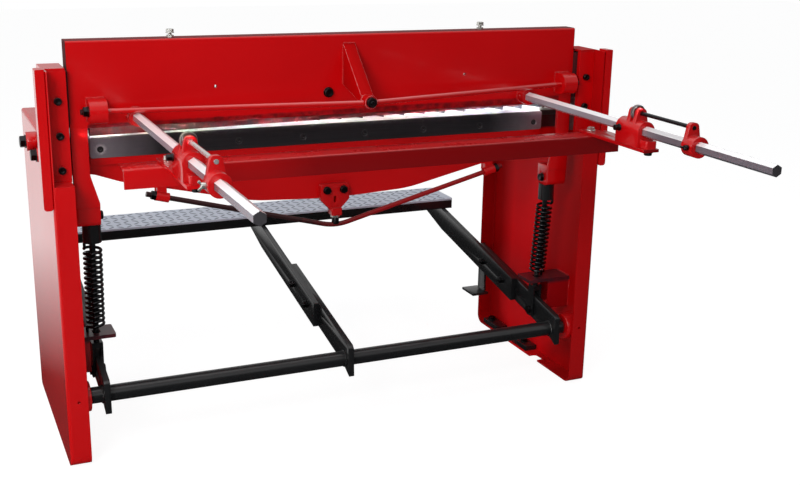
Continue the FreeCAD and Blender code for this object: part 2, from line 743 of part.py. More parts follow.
def bed_truss_fittings():
    way = bed_lug_way()
    seat = V(BED_LUG_X, BED_ROD_Y, BED_LUG_Z) + way * BED_LUG_HALF
    nut = bolt_head(seat, way, TRUSS_NUT_AF, TRUSS_NUT_H, BED_LUG_R, WASHER_T)
    nut = nut.cut(bed_truss_rod(0.0))
    low = BRACKET_BOTTOM - LOCK_NUT_H
    collar = rod(V(0, BED_ROD_Y, low), V(0, 0, 1), LOCK_NUT_R, LOCK_NUT_H)
    foot = rod(V(0, BED_ROD_Y, BED_APEX_Z), V(0, 0, 1), JACK_R, low - BED_APEX_Z)
    collar = collar.cut(jack_thread())
    foot = fuse(foot, jack_thread())
    foot = cut(foot, bed_truss_rod(FIT))
    foot = max(foot.Solids, key=lambda s: s.CenterOfMass.z)
    return both_sides(nut) + [collar, foot]


def jack_thread():
    return rod(V(0, BED_ROD_Y, BRACKET_BOTTOM - LOCK_NUT_H), V(0, 0, 1), JACK_THREAD_R, JACK_THREAD_L)


def bed_truss_bracket():
    half = BRACKET_W / 2.0
    nose = NOSE_W / 2.0
    knee = BRACKET_BOTTOM + 43.0
    hip = BRACKET_BOTTOM + 15.0
    plate = along_y([(-half, BRACKET_TOP, 10), (-half, knee, 8), (-nose, hip, 6), (-nose, BRACKET_BOTTOM, 4),
                     (nose, BRACKET_BOTTOM, 4), (nose, hip, 6), (half, knee, 8), (half, BRACKET_TOP, 10)],
                    BED_BACK, BED_BACK + BRACKET_T)
    block = box(-nose, nose, BED_BACK, BED_ROD_Y + 14.0, BRACKET_BOTTOM, BRACKET_BOTTOM + 21.0)
    slot = along_y([(-4, BRACKET_BOTTOM + 34, 3.9), (4, BRACKET_BOTTOM + 34, 3.9),
                    (4, BRACKET_BOTTOM + 54, 3.9), (-4, BRACKET_BOTTOM + 54, 3.9)],
                   BED_BACK + 4.0, BED_BACK + BRACKET_T + 1.0)
    return cut(fuse(plate, block), slot, jack_thread(), *both_sides(bracket_shank()))


# Ram


def upper_screws():
    z = RAM_BOTTOM + RAM_BAR_H * 0.5
    return blade_screws(z, UPPER_BLADE_FRONT, V(0, 1, 0))


def upper_blade():
    half = BLADE_LEN / 2.0
    blade = along_y([(half, TABLE_TOP + BLADE_OPEN_LOW), (-half, TABLE_TOP + BLADE_OPEN_HIGH),
                     (-half, UPPER_BLADE_TOP, 4), (half, UPPER_BLADE_TOP, 4)],
                    UPPER_BLADE_FRONT, UPPER_BLADE_FRONT + UPPER_BLADE_T)
    return cut(blade, *upper_screws())


def ram_lug(x, z):
    """Round-ended block that holds one end of the ram's truss rod."""
    return along_x([(RAM_BACK, z - LUG_R), (RAM_ROD_Y + LUG_R, z - LUG_R, LUG_R - 0.5),
                    (RAM_ROD_Y + LUG_R, z + LUG_R, LUG_R - 0.5), (RAM_BACK, z + LUG_R)],
                   x - LUG_W / 2.0, x + LUG_W / 2.0)


def face_bolt_shank():
    start = V(FACE_BOLT[0], RAM_BACK - FACE_BOLT_DEPTH, FACE_BOLT[1])
    return rod(start, V(0, 1, 0), FACE_BOLT_R, FACE_BOLT_DEPTH)


def ram_beam():
    beam = along_x([(RAM_FRONT, RAM_BOTTOM), (RAM_BACK, RAM_BOTTOM), (RAM_BACK, RAM_TOP, 6),
                    (RAM_FRONT, RAM_TOP, 4)], -RAM_HALF, RAM_HALF)
    bays = 4
    width = (2.0 * RAM_HALF - (bays + 1) * RAM_PLATE) / bays
    for i in range(bays):
        x0 = -RAM_HALF + RAM_PLATE + i * (width + RAM_PLATE)
        bay = box(x0, x0 + width, RAM_FRONT - 1, RAM_BACK - RAM_PLATE,
                  RAM_BOTTOM + RAM_BAR_H, RAM_TOP - RAM_PLATE)
        beam = beam.cut(bay)
    shoe = box(RAM_HALF, PANEL_IN - SHOE_SIDE_GAP, SHOE_FRONT, SHOE_FRONT + SHOE_T, SHOE_BOTTOM, SHOE_TOP)
    beam = fuse(beam, shoe, mirrored(shoe), *[ram_lug(x, z) for x, z in RAM_LUGS])
    for x, z in SMALL_HOLES:
        beam = beam.cut(rod(V(x, RAM_BACK - RAM_PLATE - 1, z), V(0, 1, 0), SMALL_HOLE_R, RAM_PLATE + 2))
    return cut(beam, ram_truss_rod(FIT), face_bolt_shank(), *upper_screws(), *lift_shanks(), *hanger_shanks())


def lift_shanks():
    return [rod(V(x, (RAM_FRONT + RAM_BACK) / 2.0, RAM_TOP - RAM_PLATE), V(0, 0, 1), LIFT_BOLT_R,
                RAM_PLATE + LIFT_BOLT_OUT) for x in LIFT_BOLTS_X]


def hanger_shanks():
    return [rod(V(side * ROD_X, RAM_BACK - ROD_SPIGOT_L, ROD_Z), V(0, 1, 0), ROD_SPIGOT_R, ROD_SPIGOT_L)
            for side in (1, -1)]


def ram_bolts():
    bolts = []
    for shank in lift_shanks():
        foot = V(shank.CenterOfMass.x, shank.CenterOfMass.y, RAM_TOP)
        nut = hexagon(foot, V(0, 0, 1), 17.0, 6.0)
        head = hexagon(foot + V(0, 0, LIFT_BOLT_OUT), V(0, 0, 1), 17.0, 9.0)
        flange = rod(foot + V(0, 0, LIFT_BOLT_OUT - 1.0), V(0, 0, 1), 11.0, 2.0)
        bolts.append(fuse(shank, nut, head, flange))
    seat = V(FACE_BOLT[0], RAM_BACK, FACE_BOLT[1])
    head = bolt_head(seat, V(0, 1, 0), 22.0, 9.0, 14.0, WASHER_T)
    bolts.append(fuse(head, face_bolt_shank()))
    return bolts


def ram_truss_rod(extra=0.0):
    (right_x, right_z), (left_x, left_z) = RAM_LUGS
    reach = LUG_W / 2.0 + TRUSS_STUB
    points = [V(right_x + reach, RAM_ROD_Y, right_z), V(right_x, RAM_ROD_Y, right_z),
              V(APEX_X, APEX_Y, APEX_Z),
              V(left_x, RAM_ROD_Y, left_z), V(left_x - reach, RAM_ROD_Y, left_z)]
    return bent_rod(points, [LUG_BEND_R, ROD_BEND_R, LUG_BEND_R], TRUSS_ROD_R + extra)


def ram_truss_nuts():
    nuts = []
    for (x, z), side in zip(RAM_LUGS, (1, -1)):
        seat = V(x + side * LUG_W / 2.0, RAM_ROD_Y, z)
        nut = bolt_head(seat, V(side, 0, 0), TRUSS_NUT_AF, TRUSS_NUT_H, TRUSS_NUT_AF * 0.6, WASHER_T)
        nuts.append(nut.cut(rod(seat, V(side, 0, 0), TRUSS_ROD_R, TRUSS_STUB)))
    seat = V(APEX_X, APEX_Y + CLAMP_R - CLAMP_RISE, APEX_Z + CLAMP_RISE)
    return nuts + [hexagon(seat, V(0, 1, 0), CLAMP_NUT_AF, CLAMP_NUT_H)]


def ram_gusset():
    half = GUSSET_W / 2.0
    toe = APEX_Y - CLAMP_R + 2.0
    toe_z = APEX_Z + CLAMP_R
    side = [(RAM_BACK, GUSSET_BOTTOM), (toe, APEX_Z - 4.0), (toe, toe_z), (RAM_BACK, GUSSET_TOP)]
    solid = along_x(side, APEX_X - half, APEX_X + half)
    slope = GUSSET_T * math.hypot(toe - RAM_BACK, GUSSET_TOP - toe_z) / (toe - RAM_BACK)
    hollow = [(RAM_BACK - 1, GUSSET_BOTTOM - 60), (toe - 6, APEX_Z - 40), (toe - 6, toe_z - slope + 2.0),
              (RAM_BACK - 1, GUSSET_TOP - slope)]
    solid = solid.cut(along_x(hollow, APEX_X - half + GUSSET_T, APEX_X + half - GUSSET_T))
    clamp = rod(V(APEX_X, APEX_Y - CLAMP_R, APEX_Z + CLAMP_RISE), V(0, 1, 0), CLAMP_R,
                2.0 * CLAMP_R - CLAMP_RISE)
    return cut(fuse(solid, clamp), ram_truss_rod(FIT))


def link_slot():
    wide = EYE_T / 2.0 + 0.5
    return box(LINK_X - wide, LINK_X + wide, LEG_BOSS_FRONT - 1, LINK_TOP_Y + EYE_R + 5.0,
               LEG_BOTTOM - 1, LINK_TOP_Z + EYE_R + 8.0)


def leg_pin():
    start = LEG_BOSS_IN - WASHER_T
    return rod(V(start, LINK_TOP_Y, LINK_TOP_Z), V(1, 0, 0), LINK_PIN_R, LEG_OUT - start)


def ram_leg():
    plate = along_y([(LEG_IN, RAM_BOTTOM), (LEG_OUT, RAM_BOTTOM), (LEG_OUT, LEG_PLATE_BOTTOM),
                     (LEG_BOSS_IN, LEG_PLATE_BOTTOM), (LEG_BOSS_IN, LEG_BOSS_TOP, 12),
                     (LEG_IN, LEG_FLARE_TOP, 60)],
                    RAM_BACK - RAM_PLATE, RAM_BACK)
    rear = RAM_BACK - LEG_BOSS_STEP
    boss = along_x([(LEG_BOSS_FRONT, LEG_BOTTOM, LEG_BOSS_ROUND), (rear, LEG_BOTTOM, LEG_BOSS_ROUND),
                    (rear, LEG_BOSS_TOP), (LEG_BOSS_FRONT, LEG_BOSS_TOP, 5)], LEG_BOSS_IN, LEG_OUT)
    return cut(fuse(plate, boss), link_slot(), leg_pin())


def leg_pivot_pin():
    head = bolt_head(V(LEG_BOSS_IN, LINK_TOP_Y, LINK_TOP_Z), V(-1, 0, 0), 20.0, 8.0, 13.0, WASHER_T)
    return fuse(head, leg_pin())


def spring_cup():
    y = link_y(LEG_BOTTOM - CUP_H / 2.0)
    body = rod(V(LINK_X, y, LEG_BOTTOM - CUP_H), V(0, 0, 1), CUP_R, CUP_H)
    return body.cut(rod(V(LINK_X, y, LEG_BOTTOM - CUP_H - 1), V(0, 0, 1), CUP_BORE_R, CUP_H + 2))


# Treadle


def arm_mid(y):
    return TREADLE_Z + ARM_RISE + ARM_SLOPE * (TREADLE_Y - y)


def arm_top(y):
    return arm_mid(y) + ARM_HALF_H


def arm_bottom(y):
    return arm_mid(y) - ARM_HALF_H


def rear_arm(x):
    """Flat bar welded on the shaft; its cut tail points down behind the shaft."""
    points = [(ARM_LAP_FRONT, arm_bottom(ARM_LAP_FRONT), 3), (TREADLE_Y - 5.0, arm_bottom(TREADLE_Y - 5.0)),
              (TAIL_Y, TAIL_Z), (TAIL_Y - 4.0, arm_top(TAIL_Y - 4.0) - 6.0),
              (TAIL_Y - 12.0, arm_top(TAIL_Y - 12.0)), (ARM_LAP_FRONT, arm_top(ARM_LAP_FRONT), 3)]
    bar = along_x(points, x - ARM_T / 2.0, x + ARM_T / 2.0)
    return bar.cut(rod(V(x - ARM_T, TREADLE_Y, TREADLE_Z), V(1, 0, 0), SHAFT_R, 2.0 * ARM_T))


def front_arm(x):
    """Flat bar that laps the rear bar and carries the tread on its raised toe."""
    toe_back = TREAD_BACK - TREAD_T
    under = TREAD_TOP - TREAD_T
    toe_front = TREAD_FRONT + 10.0
    points = [(ARM_LAP_BACK, arm_bottom(ARM_LAP_BACK), 3), (ARM_LAP_BACK, arm_top(ARM_LAP_BACK), 3),
              (toe_back, arm_top(toe_back)), (toe_back, under), (toe_front, under),
              (toe_front, under - 54.0, 8), (TREAD_BACK, arm_bottom(TREAD_BACK), 30)]
    return along_x(list(reversed(points)), x - ARM_T / 2.0, x + ARM_T / 2.0)


def arm_stations():
    """Centre planes of the rear bar and the front bar of each arm, with the lap's side."""
    return [(LINK_X, LINK_X - ARM_T), (0.0, ARM_T), (-LINK_X, -LINK_X + ARM_T)]


def arm_bolt_shank(low_x, y):
    return rod(V(low_x, y, arm_mid(y)), V(1, 0, 0), ARM_BOLT_R, 2.0 * ARM_T)


def arm_bolts():
    bolts = []
    for rear_x, front_x in arm_stations():
        low_x = min(rear_x, front_x) - ARM_T / 2.0
        for y in ARM_BOLT_Y:
            shank = arm_bolt_shank(low_x, y)
            head = bolt_head(V(low_x, y, arm_mid(y)), V(-1, 0, 0), 19.0, 8.0, 12.0, 2.0)
            nut = bolt_head(V(low_x + 2.0 * ARM_T, y, arm_mid(y)), V(1, 0, 0), 19.0, 9.0, 12.0, 2.0)
            bolts.append(fuse(shank, head, nut))
    return bolts


def link_pin(extra=0.0):
    wide = ARM_T / 2.0 + CLEVIS_GAP + CLEVIS_T + 0.6
    return rod(V(LINK_X - wide, PIN_Y, PIN_Z), V(1, 0, 0), LINK_PIN_R + extra, 2.0 * wide)


def link_pin_with_heads():
    wide = ARM_T / 2.0 + CLEVIS_GAP + CLEVIS_T + 0.6
    left = rod(V(LINK_X - wide - 5.0, PIN_Y, PIN_Z), V(1, 0, 0), 13.0, 5.0)
    right = rod(V(LINK_X + wide, PIN_Y, PIN_Z), V(1, 0, 0), 13.0, 5.0)
    return fuse(link_pin(), left, right)


def rear_arms():
    pins = both_sides(link_pin())
    arms = []
    for rear_x, front_x in arm_stations():
        low_x = min(rear_x, front_x) - ARM_T / 2.0
        shanks = [arm_bolt_shank(low_x, y) for y in ARM_BOLT_Y]
        arms.append(cut(rear_arm(rear_x), *pins, *shanks))
    return arms


def front_arms():
    arms = []
    for rear_x, front_x in arm_stations():
        low_x = min(rear_x, front_x) - ARM_T / 2.0
        shanks = [arm_bolt_shank(low_x, y) for y in ARM_BOLT_Y]
        arms.append(cut(front_arm(front_x), *shanks))
    return arms


def treadle_shaft():
    bar = rod(V(-SHAFT_HALF, TREADLE_Y, TREADLE_Z), V(1, 0, 0), SHAFT_R, 2.0 * SHAFT_HALF)
    journal_half = PANEL_IN - JOURNAL_GAP
    journals = rod(V(-journal_half, TREADLE_Y, TREADLE_Z), V(1, 0, 0), JOURNAL_R, 2.0 * journal_half)
    return fuse(bar, journals)


def treadle_bearing():
    block = rod(V(BEARING_IN, TREADLE_Y, TREADLE_Z), V(1, 0, 0), BEARING_R, BEARING_L)
    return block.cut(rod(V(BEARING_IN - 1, TREADLE_Y, TREADLE_Z), V(1, 0, 0), JOURNAL_R + FIT, BEARING_L + 2))


def tread_plate():
    return along_z([(-TREAD_HALF, TREAD_FRONT, 10), (TREAD_HALF, TREAD_FRONT, 10),
                    (TREAD_HALF, TREAD_BACK, 10), (-TREAD_HALF, TREAD_BACK, 10)],
                   TREAD_TOP - TREAD_T, TREAD_TOP)


def tread_angles():
    under = TREAD_TOP - TREAD_T
    rear_foot = arm_top(TREAD_BACK - TREAD_T)
    rear = box(-TREAD_HALF + 4, TREAD_HALF - 4, TREAD_BACK - TREAD_T, TREAD_BACK, rear_foot, under)
    front = box(-TREAD_HALF + 4, TREAD_HALF - 4, TREAD_FRONT, TREAD_FRONT + TREAD_T, rear_foot, under)
    return rear, front


def stop_foot():
    outer_x = -LINK_X + ARM_T / 2.0 + 4.0
    mid_y = (STOP_FOOT_Y[0] + STOP_FOOT_Y[1]) / 2.0
    low = mid_y - STOP_FOOT_W / 2.0
    high = mid_y + STOP_FOOT_W / 2.0
    upright = along_x([(low, STOP_FOOT_Z), (high, STOP_FOOT_Z), (high, arm_bottom(high)),
                       (low, arm_bottom(low))], outer_x - STOP_FOOT_T, outer_x)
    plate = box(outer_x - STOP_FOOT_T, outer_x - STOP_FOOT_T + STOP_FOOT_REACH + STOP_FOOT_T / 2.0,
                STOP_FOOT_Y[0], STOP_FOOT_Y[1], STOP_FOOT_Z, STOP_FOOT_Z + STOP_FOOT_T)
    return fuse(upright, plate)


# Links, main springs and spring shelves


def link_way():
    return V(0, LINK_TOP_Y - PIN_Y, LINK_TOP_Z - PIN_Z).normalize()


def link_y(z):
    """Where the link's centre line stands at a height."""
    return PIN_Y + (z - PIN_Z) * (LINK_TOP_Y - PIN_Y) / (LINK_TOP_Z - PIN_Z)


def link():
    eye = rod(V(LINK_X - EYE_T / 2.0, LINK_TOP_Y, LINK_TOP_Z), V(1, 0, 0), EYE_R, EYE_T)
    low = CLEVIS_TOP - CLEVIS_HALF_Y / 2.0
    bar_start = V(LINK_X, link_y(low), low)
    bar_end = V(LINK_X, LINK_TOP_Y, LINK_TOP_Z)
    bar = rod(bar_start, link_way(), LINK_ROD_R, (bar_end - bar_start).Length)
    inner = ARM_T / 2.0 + CLEVIS_GAP
    outer = inner + CLEVIS_T
    top_y = link_y(CLEVIS_TOP)
    block = box(LINK_X - outer, LINK_X + outer, top_y - CLEVIS_HALF_Y, top_y + CLEVIS_HALF_Y,
                CLEVIS_TOP - CLEVIS_HALF_Y, CLEVIS_TOP)
    chin = PIN_Z - CLEVIS_CHIN
    cheek_points = [(PIN_Y - CLEVIS_CHIN, chin, 12), (PIN_Y + CLEVIS_CHIN, chin, 12),
                    (top_y + CLEVIS_HALF_Y, CLEVIS_TOP, 2), (top_y - CLEVIS_HALF_Y, CLEVIS_TOP, 2)]
    cheek_right = along_x(cheek_points, LINK_X + inner, LINK_X + outer)
    cheek_left = along_x(cheek_points, LINK_X - outer, LINK_X - inner)
    body = fuse(eye, bar, block, cheek_right, cheek_left)
    top_bore = rod(V(LINK_X - EYE_T, LINK_TOP_Y, LINK_TOP_Z), V(1, 0, 0), LINK_PIN_R + FIT, 2.0 * EYE_T)
    return cut(body, top_bore, link_pin(PIN_PLAY))


def main_spring(name):
    bottom = V(LINK_X, link_y(SHELF_TOP), SHELF_TOP)
    cup_z = LEG_BOTTOM - CUP_H
    top = V(LINK_X, link_y(cup_z), cup_z)
    return spring(bottom, top, SPRING_R, SPRING_WIRE, SPRING_TURNS, name)


def spring_shelf():
    plate = along_z([(SHELF_IN, SHELF_Y[0], 6), (PANEL_IN, SHELF_Y[0]), (PANEL_IN, SHELF_Y[1]),
                     (SHELF_IN, SHELF_Y[1], 6)], SHELF_TOP - SHELF_T, SHELF_TOP)
    mid = link_y(SHELF_TOP)
    slot = along_z([(LINK_X - 11, mid - 13, 9), (LINK_X + 11, mid - 13, 9), (LINK_X + 11, mid + 16, 9),
                    (LINK_X - 11, mid + 16, 9)], SHELF_TOP - SHELF_T - 1, SHELF_TOP + 1)
    under = SHELF_TOP - SHELF_T
    webs = []
    for y, inner_x in ((SHELF_Y[0], LINK_X + 39.0), (SHELF_Y[1] - SHELF_WEB_T, LINK_X + 23.0)):
        webs.append(box(inner_x, PANEL_IN, y, y + SHELF_WEB_T, under - SHELF_WEB_H, under))
    return fuse(plate.cut(slot), *webs)


# Hold-down


def hold_down_pin(extra=0.0):
    return rod(V(HOLD_PIN_X, HOLD_PIN_Y, TABLE_TOP), V(0, 0, 1), HOLD_PIN_R + extra, HOLD_PIN_L)


def hold_down_pin_with_head():
    seat = V(HOLD_PIN_X, HOLD_PIN_Y, TABLE_TOP + HOLD_PIN_L - 6.0)
    return fuse(hold_down_pin(), rod(seat, V(0, 0, 1), HOLD_HEAD_R, HOLD_HEAD_H))


def hold_down_bar():
    half = (FINGERS - 1) / 2.0 * FINGER_PITCH + FINGER_W / 2.0
    bar = box(-half, half, HOLD_BAR_Y[0], HOLD_BAR_Y[1], HOLD_BAR_Z[0], HOLD_BAR_Z[1])
    fingers = []
    for i in range(FINGERS):
        x = (i - (FINGERS - 1) / 2.0) * FINGER_PITCH
        low = TABLE_TOP + FINGER_LIFT
        finger = along_x([(FINGER_Y[0], low), (FINGER_Y[1], low, 4), (FINGER_Y[1], HOLD_BAR_Z[0] - 6),
                          (HOLD_BAR_Y[1], HOLD_BAR_Z[0] + 8), (FINGER_Y[0], HOLD_BAR_Z[0] + 8)],
                         x - FINGER_W / 2.0, x + FINGER_W / 2.0)
        slant = along_z([(x - FINGER_W / 2.0 - 1, FINGER_Y[1]), (x + FINGER_W / 2.0 + 1, FINGER_Y[1] - FINGER_SKEW),
                         (x + FINGER_W / 2.0 + 1, FINGER_Y[1] + 1), (x - FINGER_W / 2.0 - 1, FINGER_Y[1] + 1)],
                        low - 1, HOLD_BAR_Z[0] + 9)
        fingers.append(finger.cut(slant))
    lug = box(half - 20.0, HOLD_PIN_X + 14.0, HOLD_BAR_Y[0], HOLD_PIN_Y + 14.0,
              HOLD_LUG_Z, HOLD_LUG_Z + HOLD_LUG_T + 4.0)
    bar = fuse(bar, lug, mirrored(lug), *fingers)
    return cut(bar, *both_sides(hold_down_pin(HOLD_PIN_PLAY)))


def hold_down_spring(name):
    return spring(V(HOLD_PIN_X, HOLD_PIN_Y, TABLE_TOP), V(HOLD_PIN_X, HOLD_PIN_Y, HOLD_LUG_Z),
                  HOLD_SPRING_R, HOLD_SPRING_WIRE, HOLD_SPRING_TURNS, name)


# Back gauge


def gauge_rod():
    bar = hexagon(V(ROD_X, RAM_BACK, ROD_Z), V(0, 1, 0), ROD_AF, ROD_END - RAM_BACK, 30.0)
    return fuse(bar, hanger_shanks()[0])


def gauge_rod_boss():
    ring = rod(V(ROD_X, RAM_BACK, ROD_Z), V(0, 1, 0), ROD_BOSS_R, ROD_BOSS_L)
    ring = ring.cut(hexagon(V(ROD_X, RAM_BACK - 1, ROD_Z), V(0, 1, 0), ROD_AF, ROD_BOSS_L + 2, 30.0))
    return ring.cut(boss_screw())


def boss_screw():
    """Set screw in the side of a rod boss."""
    reach = ROD_AF / 2.0
    return rod(V(ROD_X + reach, RAM_BACK + ROD_BOSS_L / 2.0, ROD_Z), V(1, 0, 0), 5.0, ROD_BOSS_R - reach + 3.0)


def rod_bore(x, y0, y1):
    return hexagon(V(x, y0 - 1, ROD_Z), V(0, 1, 0), ROD_AF + 2.0 * CASTING_PLAY, y1 - y0 + 2, 30.0)


def ear(x, y0, y1, bore):
    """Tapered ear that stands on a casting and holds the adjusting screw."""
    base = ROD_Z + 8.0
    plate = along_y([(x - 21, base), (x + 21, base), (x + EAR_R, EAR_Z + EAR_R, EAR_R - 0.5),
                     (x - EAR_R, EAR_Z + EAR_R, EAR_R - 0.5)], y0, y1)
    return plate.cut(rod(V(x, y0 - 1, EAR_Z), V(0, 1, 0), bore, y1 - y0 + 2))


def front_carriage():
    y0, y1 = CASTING_Y
    under = GAUGE_LIP_TOP + GAUGE_ARM_T
    ring = rod(V(ROD_X, y0, ROD_Z), V(0, 1, 0), CASTING_R, y1 - y0)
    foot = box(ROD_X - 24, ROD_X + 24, y0, y1, under, ROD_Z - 6)
    toe = along_z([(ROD_X - TOE_HALF_W, y1 - 1), (ROD_X + TOE_HALF_W, y1 - 1),
                   (ROD_X + TOE_HALF_W, CASTING_TOE, 6), (ROD_X - TOE_HALF_W, CASTING_TOE, 6)],
                  under, under + TOE_H)
    ear_front = WHEEL_Y - WHEEL_GAP - EAR_T
    ear_back = WHEEL_Y + WHEEL_T + WHEEL_GAP
    ears = [ear(ROD_X, ear_front, ear_front + EAR_T, SCREW_R + 1.0),
            ear(ROD_X, ear_back, ear_back + EAR_T, SCREW_R + 1.0)]
    wheel_room = box(ROD_X - 30, ROD_X + 30, ear_front + EAR_T, ear_back, EAR_Z - WHEEL_R - 1.0, EAR_Z + 40)
    body = fuse(ring, foot, toe, *ears)
    return cut(body, wheel_room, rod_bore(ROD_X, y0, y1), clamp_shank(), *gauge_shanks())


def clamp_shank():
    start = ROD_AF / 2.0 + CASTING_PLAY + SLIDE_GAP
    return rod(V(ROD_X + start, CASTING_Y[0] + CLAMP_BOLT_BACK, ROD_Z), V(1, 0, 0), CLAMP_BOLT_R,
               CASTING_R - start + 10.0)


def rear_clamp():
    y0, y1 = CLAMP_Y
    ring = rod(V(ROD_X, y0, ROD_Z), V(0, 1, 0), CASTING_R, y1 - y0)
    plate = ear(ROD_X, y0, y0 + EAR_T, SCREW_R)
    return cut(fuse(ring, plate), rod_bore(ROD_X, y0, y1))


def adjusting_screw():
    start = WHEEL_Y - WHEEL_GAP - EAR_T - 5.0
    return rod(V(ROD_X, start, EAR_Z), V(0, 1, 0), SCREW_R, SCREW_BACK - start)


def adjusting_wheel():
    wheel = rod(V(ROD_X, WHEEL_Y, EAR_Z), V(0, 1, 0), WHEEL_R, WHEEL_T)
    wheel = wheel.makeChamfer(0.8, [e for e in wheel.Edges if e.Curve.TypeId == "Part::GeomCircle"])
    return wheel.cut(rod(V(ROD_X, WHEEL_Y - 1, EAR_Z), V(0, 1, 0), SCREW_R + FIT, WHEEL_T + 2))


def wing_screw(side):
    """Thumb screw that grips the rod from the +X side of a rear clamp."""
    x = side * ROD_X + ROD_AF / 2.0 + CASTING_PLAY + 0.4
    out = side * ROD_X + CASTING_R
    shank = rod(V(x, WING_Y, ROD_Z), V(1, 0, 0), WING_SHANK_R, out - x + 6.0)
    hub = rod(V(out + 0.4, WING_Y, ROD_Z), V(1, 0, 0), 6.5, 9.0)
    half = WING_SPAN / 2.0
    tip = out + WING_REACH
    wing = along_y([(out + 2, ROD_Z - 5), (out + 8, ROD_Z - 5), (tip - 5, ROD_Z - half, 2.5),
                    (tip, ROD_Z - half + 4, 2.5), (out + 9, ROD_Z), (tip, ROD_Z + half - 4, 2.5),
                    (tip - 5, ROD_Z + half, 2.5), (out + 8, ROD_Z + 5), (out + 2, ROD_Z + 5)],
                   WING_Y - WING_T / 2.0, WING_Y + WING_T / 2.0)
    screw = fuse(shank, hub, wing)
    screw.rotate(V(x, WING_Y, ROD_Z), V(1, 0, 0), WING_TURN[0] if side > 0 else WING_TURN[1])
    return screw


def wing_bore(side):
    x = side * ROD_X
    return rod(V(x, WING_Y, ROD_Z), V(1, 0, 0), WING_SHANK_R + FIT, CASTING_R + 1.0)


def gauge_bar():
    y0, y1 = GAUGE_Y
    top = GAUGE_LIP_TOP
    angle = along_x([(y0, top - GAUGE_T), (y1 - GAUGE_T, top - GAUGE_T), (y1 - GAUGE_T, top - GAUGE_DROP),
                     (y1, top - GAUGE_DROP), (y1, top, 4), (y0, top)], GAUGE_LEFT, GAUGE_RIGHT)
    arm = box(ROD_X - GAUGE_ARM_W / 2.0, ROD_X + GAUGE_ARM_W / 2.0, y0 + 6.0, CASTING_TOE,
              top, top + GAUGE_ARM_T)
    shanks = gauge_shanks()
    return [cut(angle, *shanks)] + [cut(a, *shanks) for a in both_sides(arm)]


def gauge_shanks():
    top = GAUGE_LIP_TOP + GAUGE_ARM_T
    bar = rod(V(ROD_X, GAUGE_Y[0] + ARM_BOLT_BACK, GAUGE_LIP_TOP - GAUGE_T), V(0, 0, 1), GAUGE_BOLT_R,
              GAUGE_ARM_T + GAUGE_T)
    toe = rod(V(ROD_X, CASTING_TOE - TOE_BOLT_BACK, GAUGE_LIP_TOP), V(0, 0, 1), GAUGE_BOLT_R,
              top - GAUGE_LIP_TOP + TOE_H - 8.0)
    return both_sides(bar) + both_sides(toe)


def gauge_bolts():
    top = GAUGE_LIP_TOP + GAUGE_ARM_T
    shanks = gauge_shanks()
    bolts = []
    for side in (1, -1):
        bar = shanks[0] if side > 0 else shanks[1]
        toe = shanks[2] if side > 0 else shanks[3]
        seat = V(side * ROD_X, GAUGE_Y[0] + ARM_BOLT_BACK, top)
        head = bolt_head(seat, V(0, 0, 1), GAUGE_BOLT_AF, 7.0, 12.0, 2.0)
        nut = hexagon(seat - V(0, 0, GAUGE_ARM_T + GAUGE_T), V(0, 0, -1), GAUGE_BOLT_AF, 7.0)
        bolts.append(fuse(bar, head, nut))
        seat = V(side * ROD_X, CASTING_TOE - TOE_BOLT_BACK, GAUGE_LIP_TOP)
        bolts.append(fuse(toe, bolt_head(seat, V(0, 0, -1), GAUGE_BOLT_AF, 7.0, 12.0, 2.0)))
        shank = clamp_shank() if side > 0 else opposite(clamp_shank())
        seat = V(side * ROD_X + CASTING_R, CASTING_Y[0] + CLAMP_BOLT_BACK, ROD_Z)
        bolts.append(fuse(shank, bolt_head(seat, V(1, 0, 0), 14.0, 12.0, 9.0, 3.0)))
    return bolts


def opposite(shape):
    """Copy for the other rod: castings are alike, not mirrored, so screws stay on the +X side."""
    copy = shape.copy()
    copy.translate(V(-2.0 * ROD_X, 0, 0))
    return copy


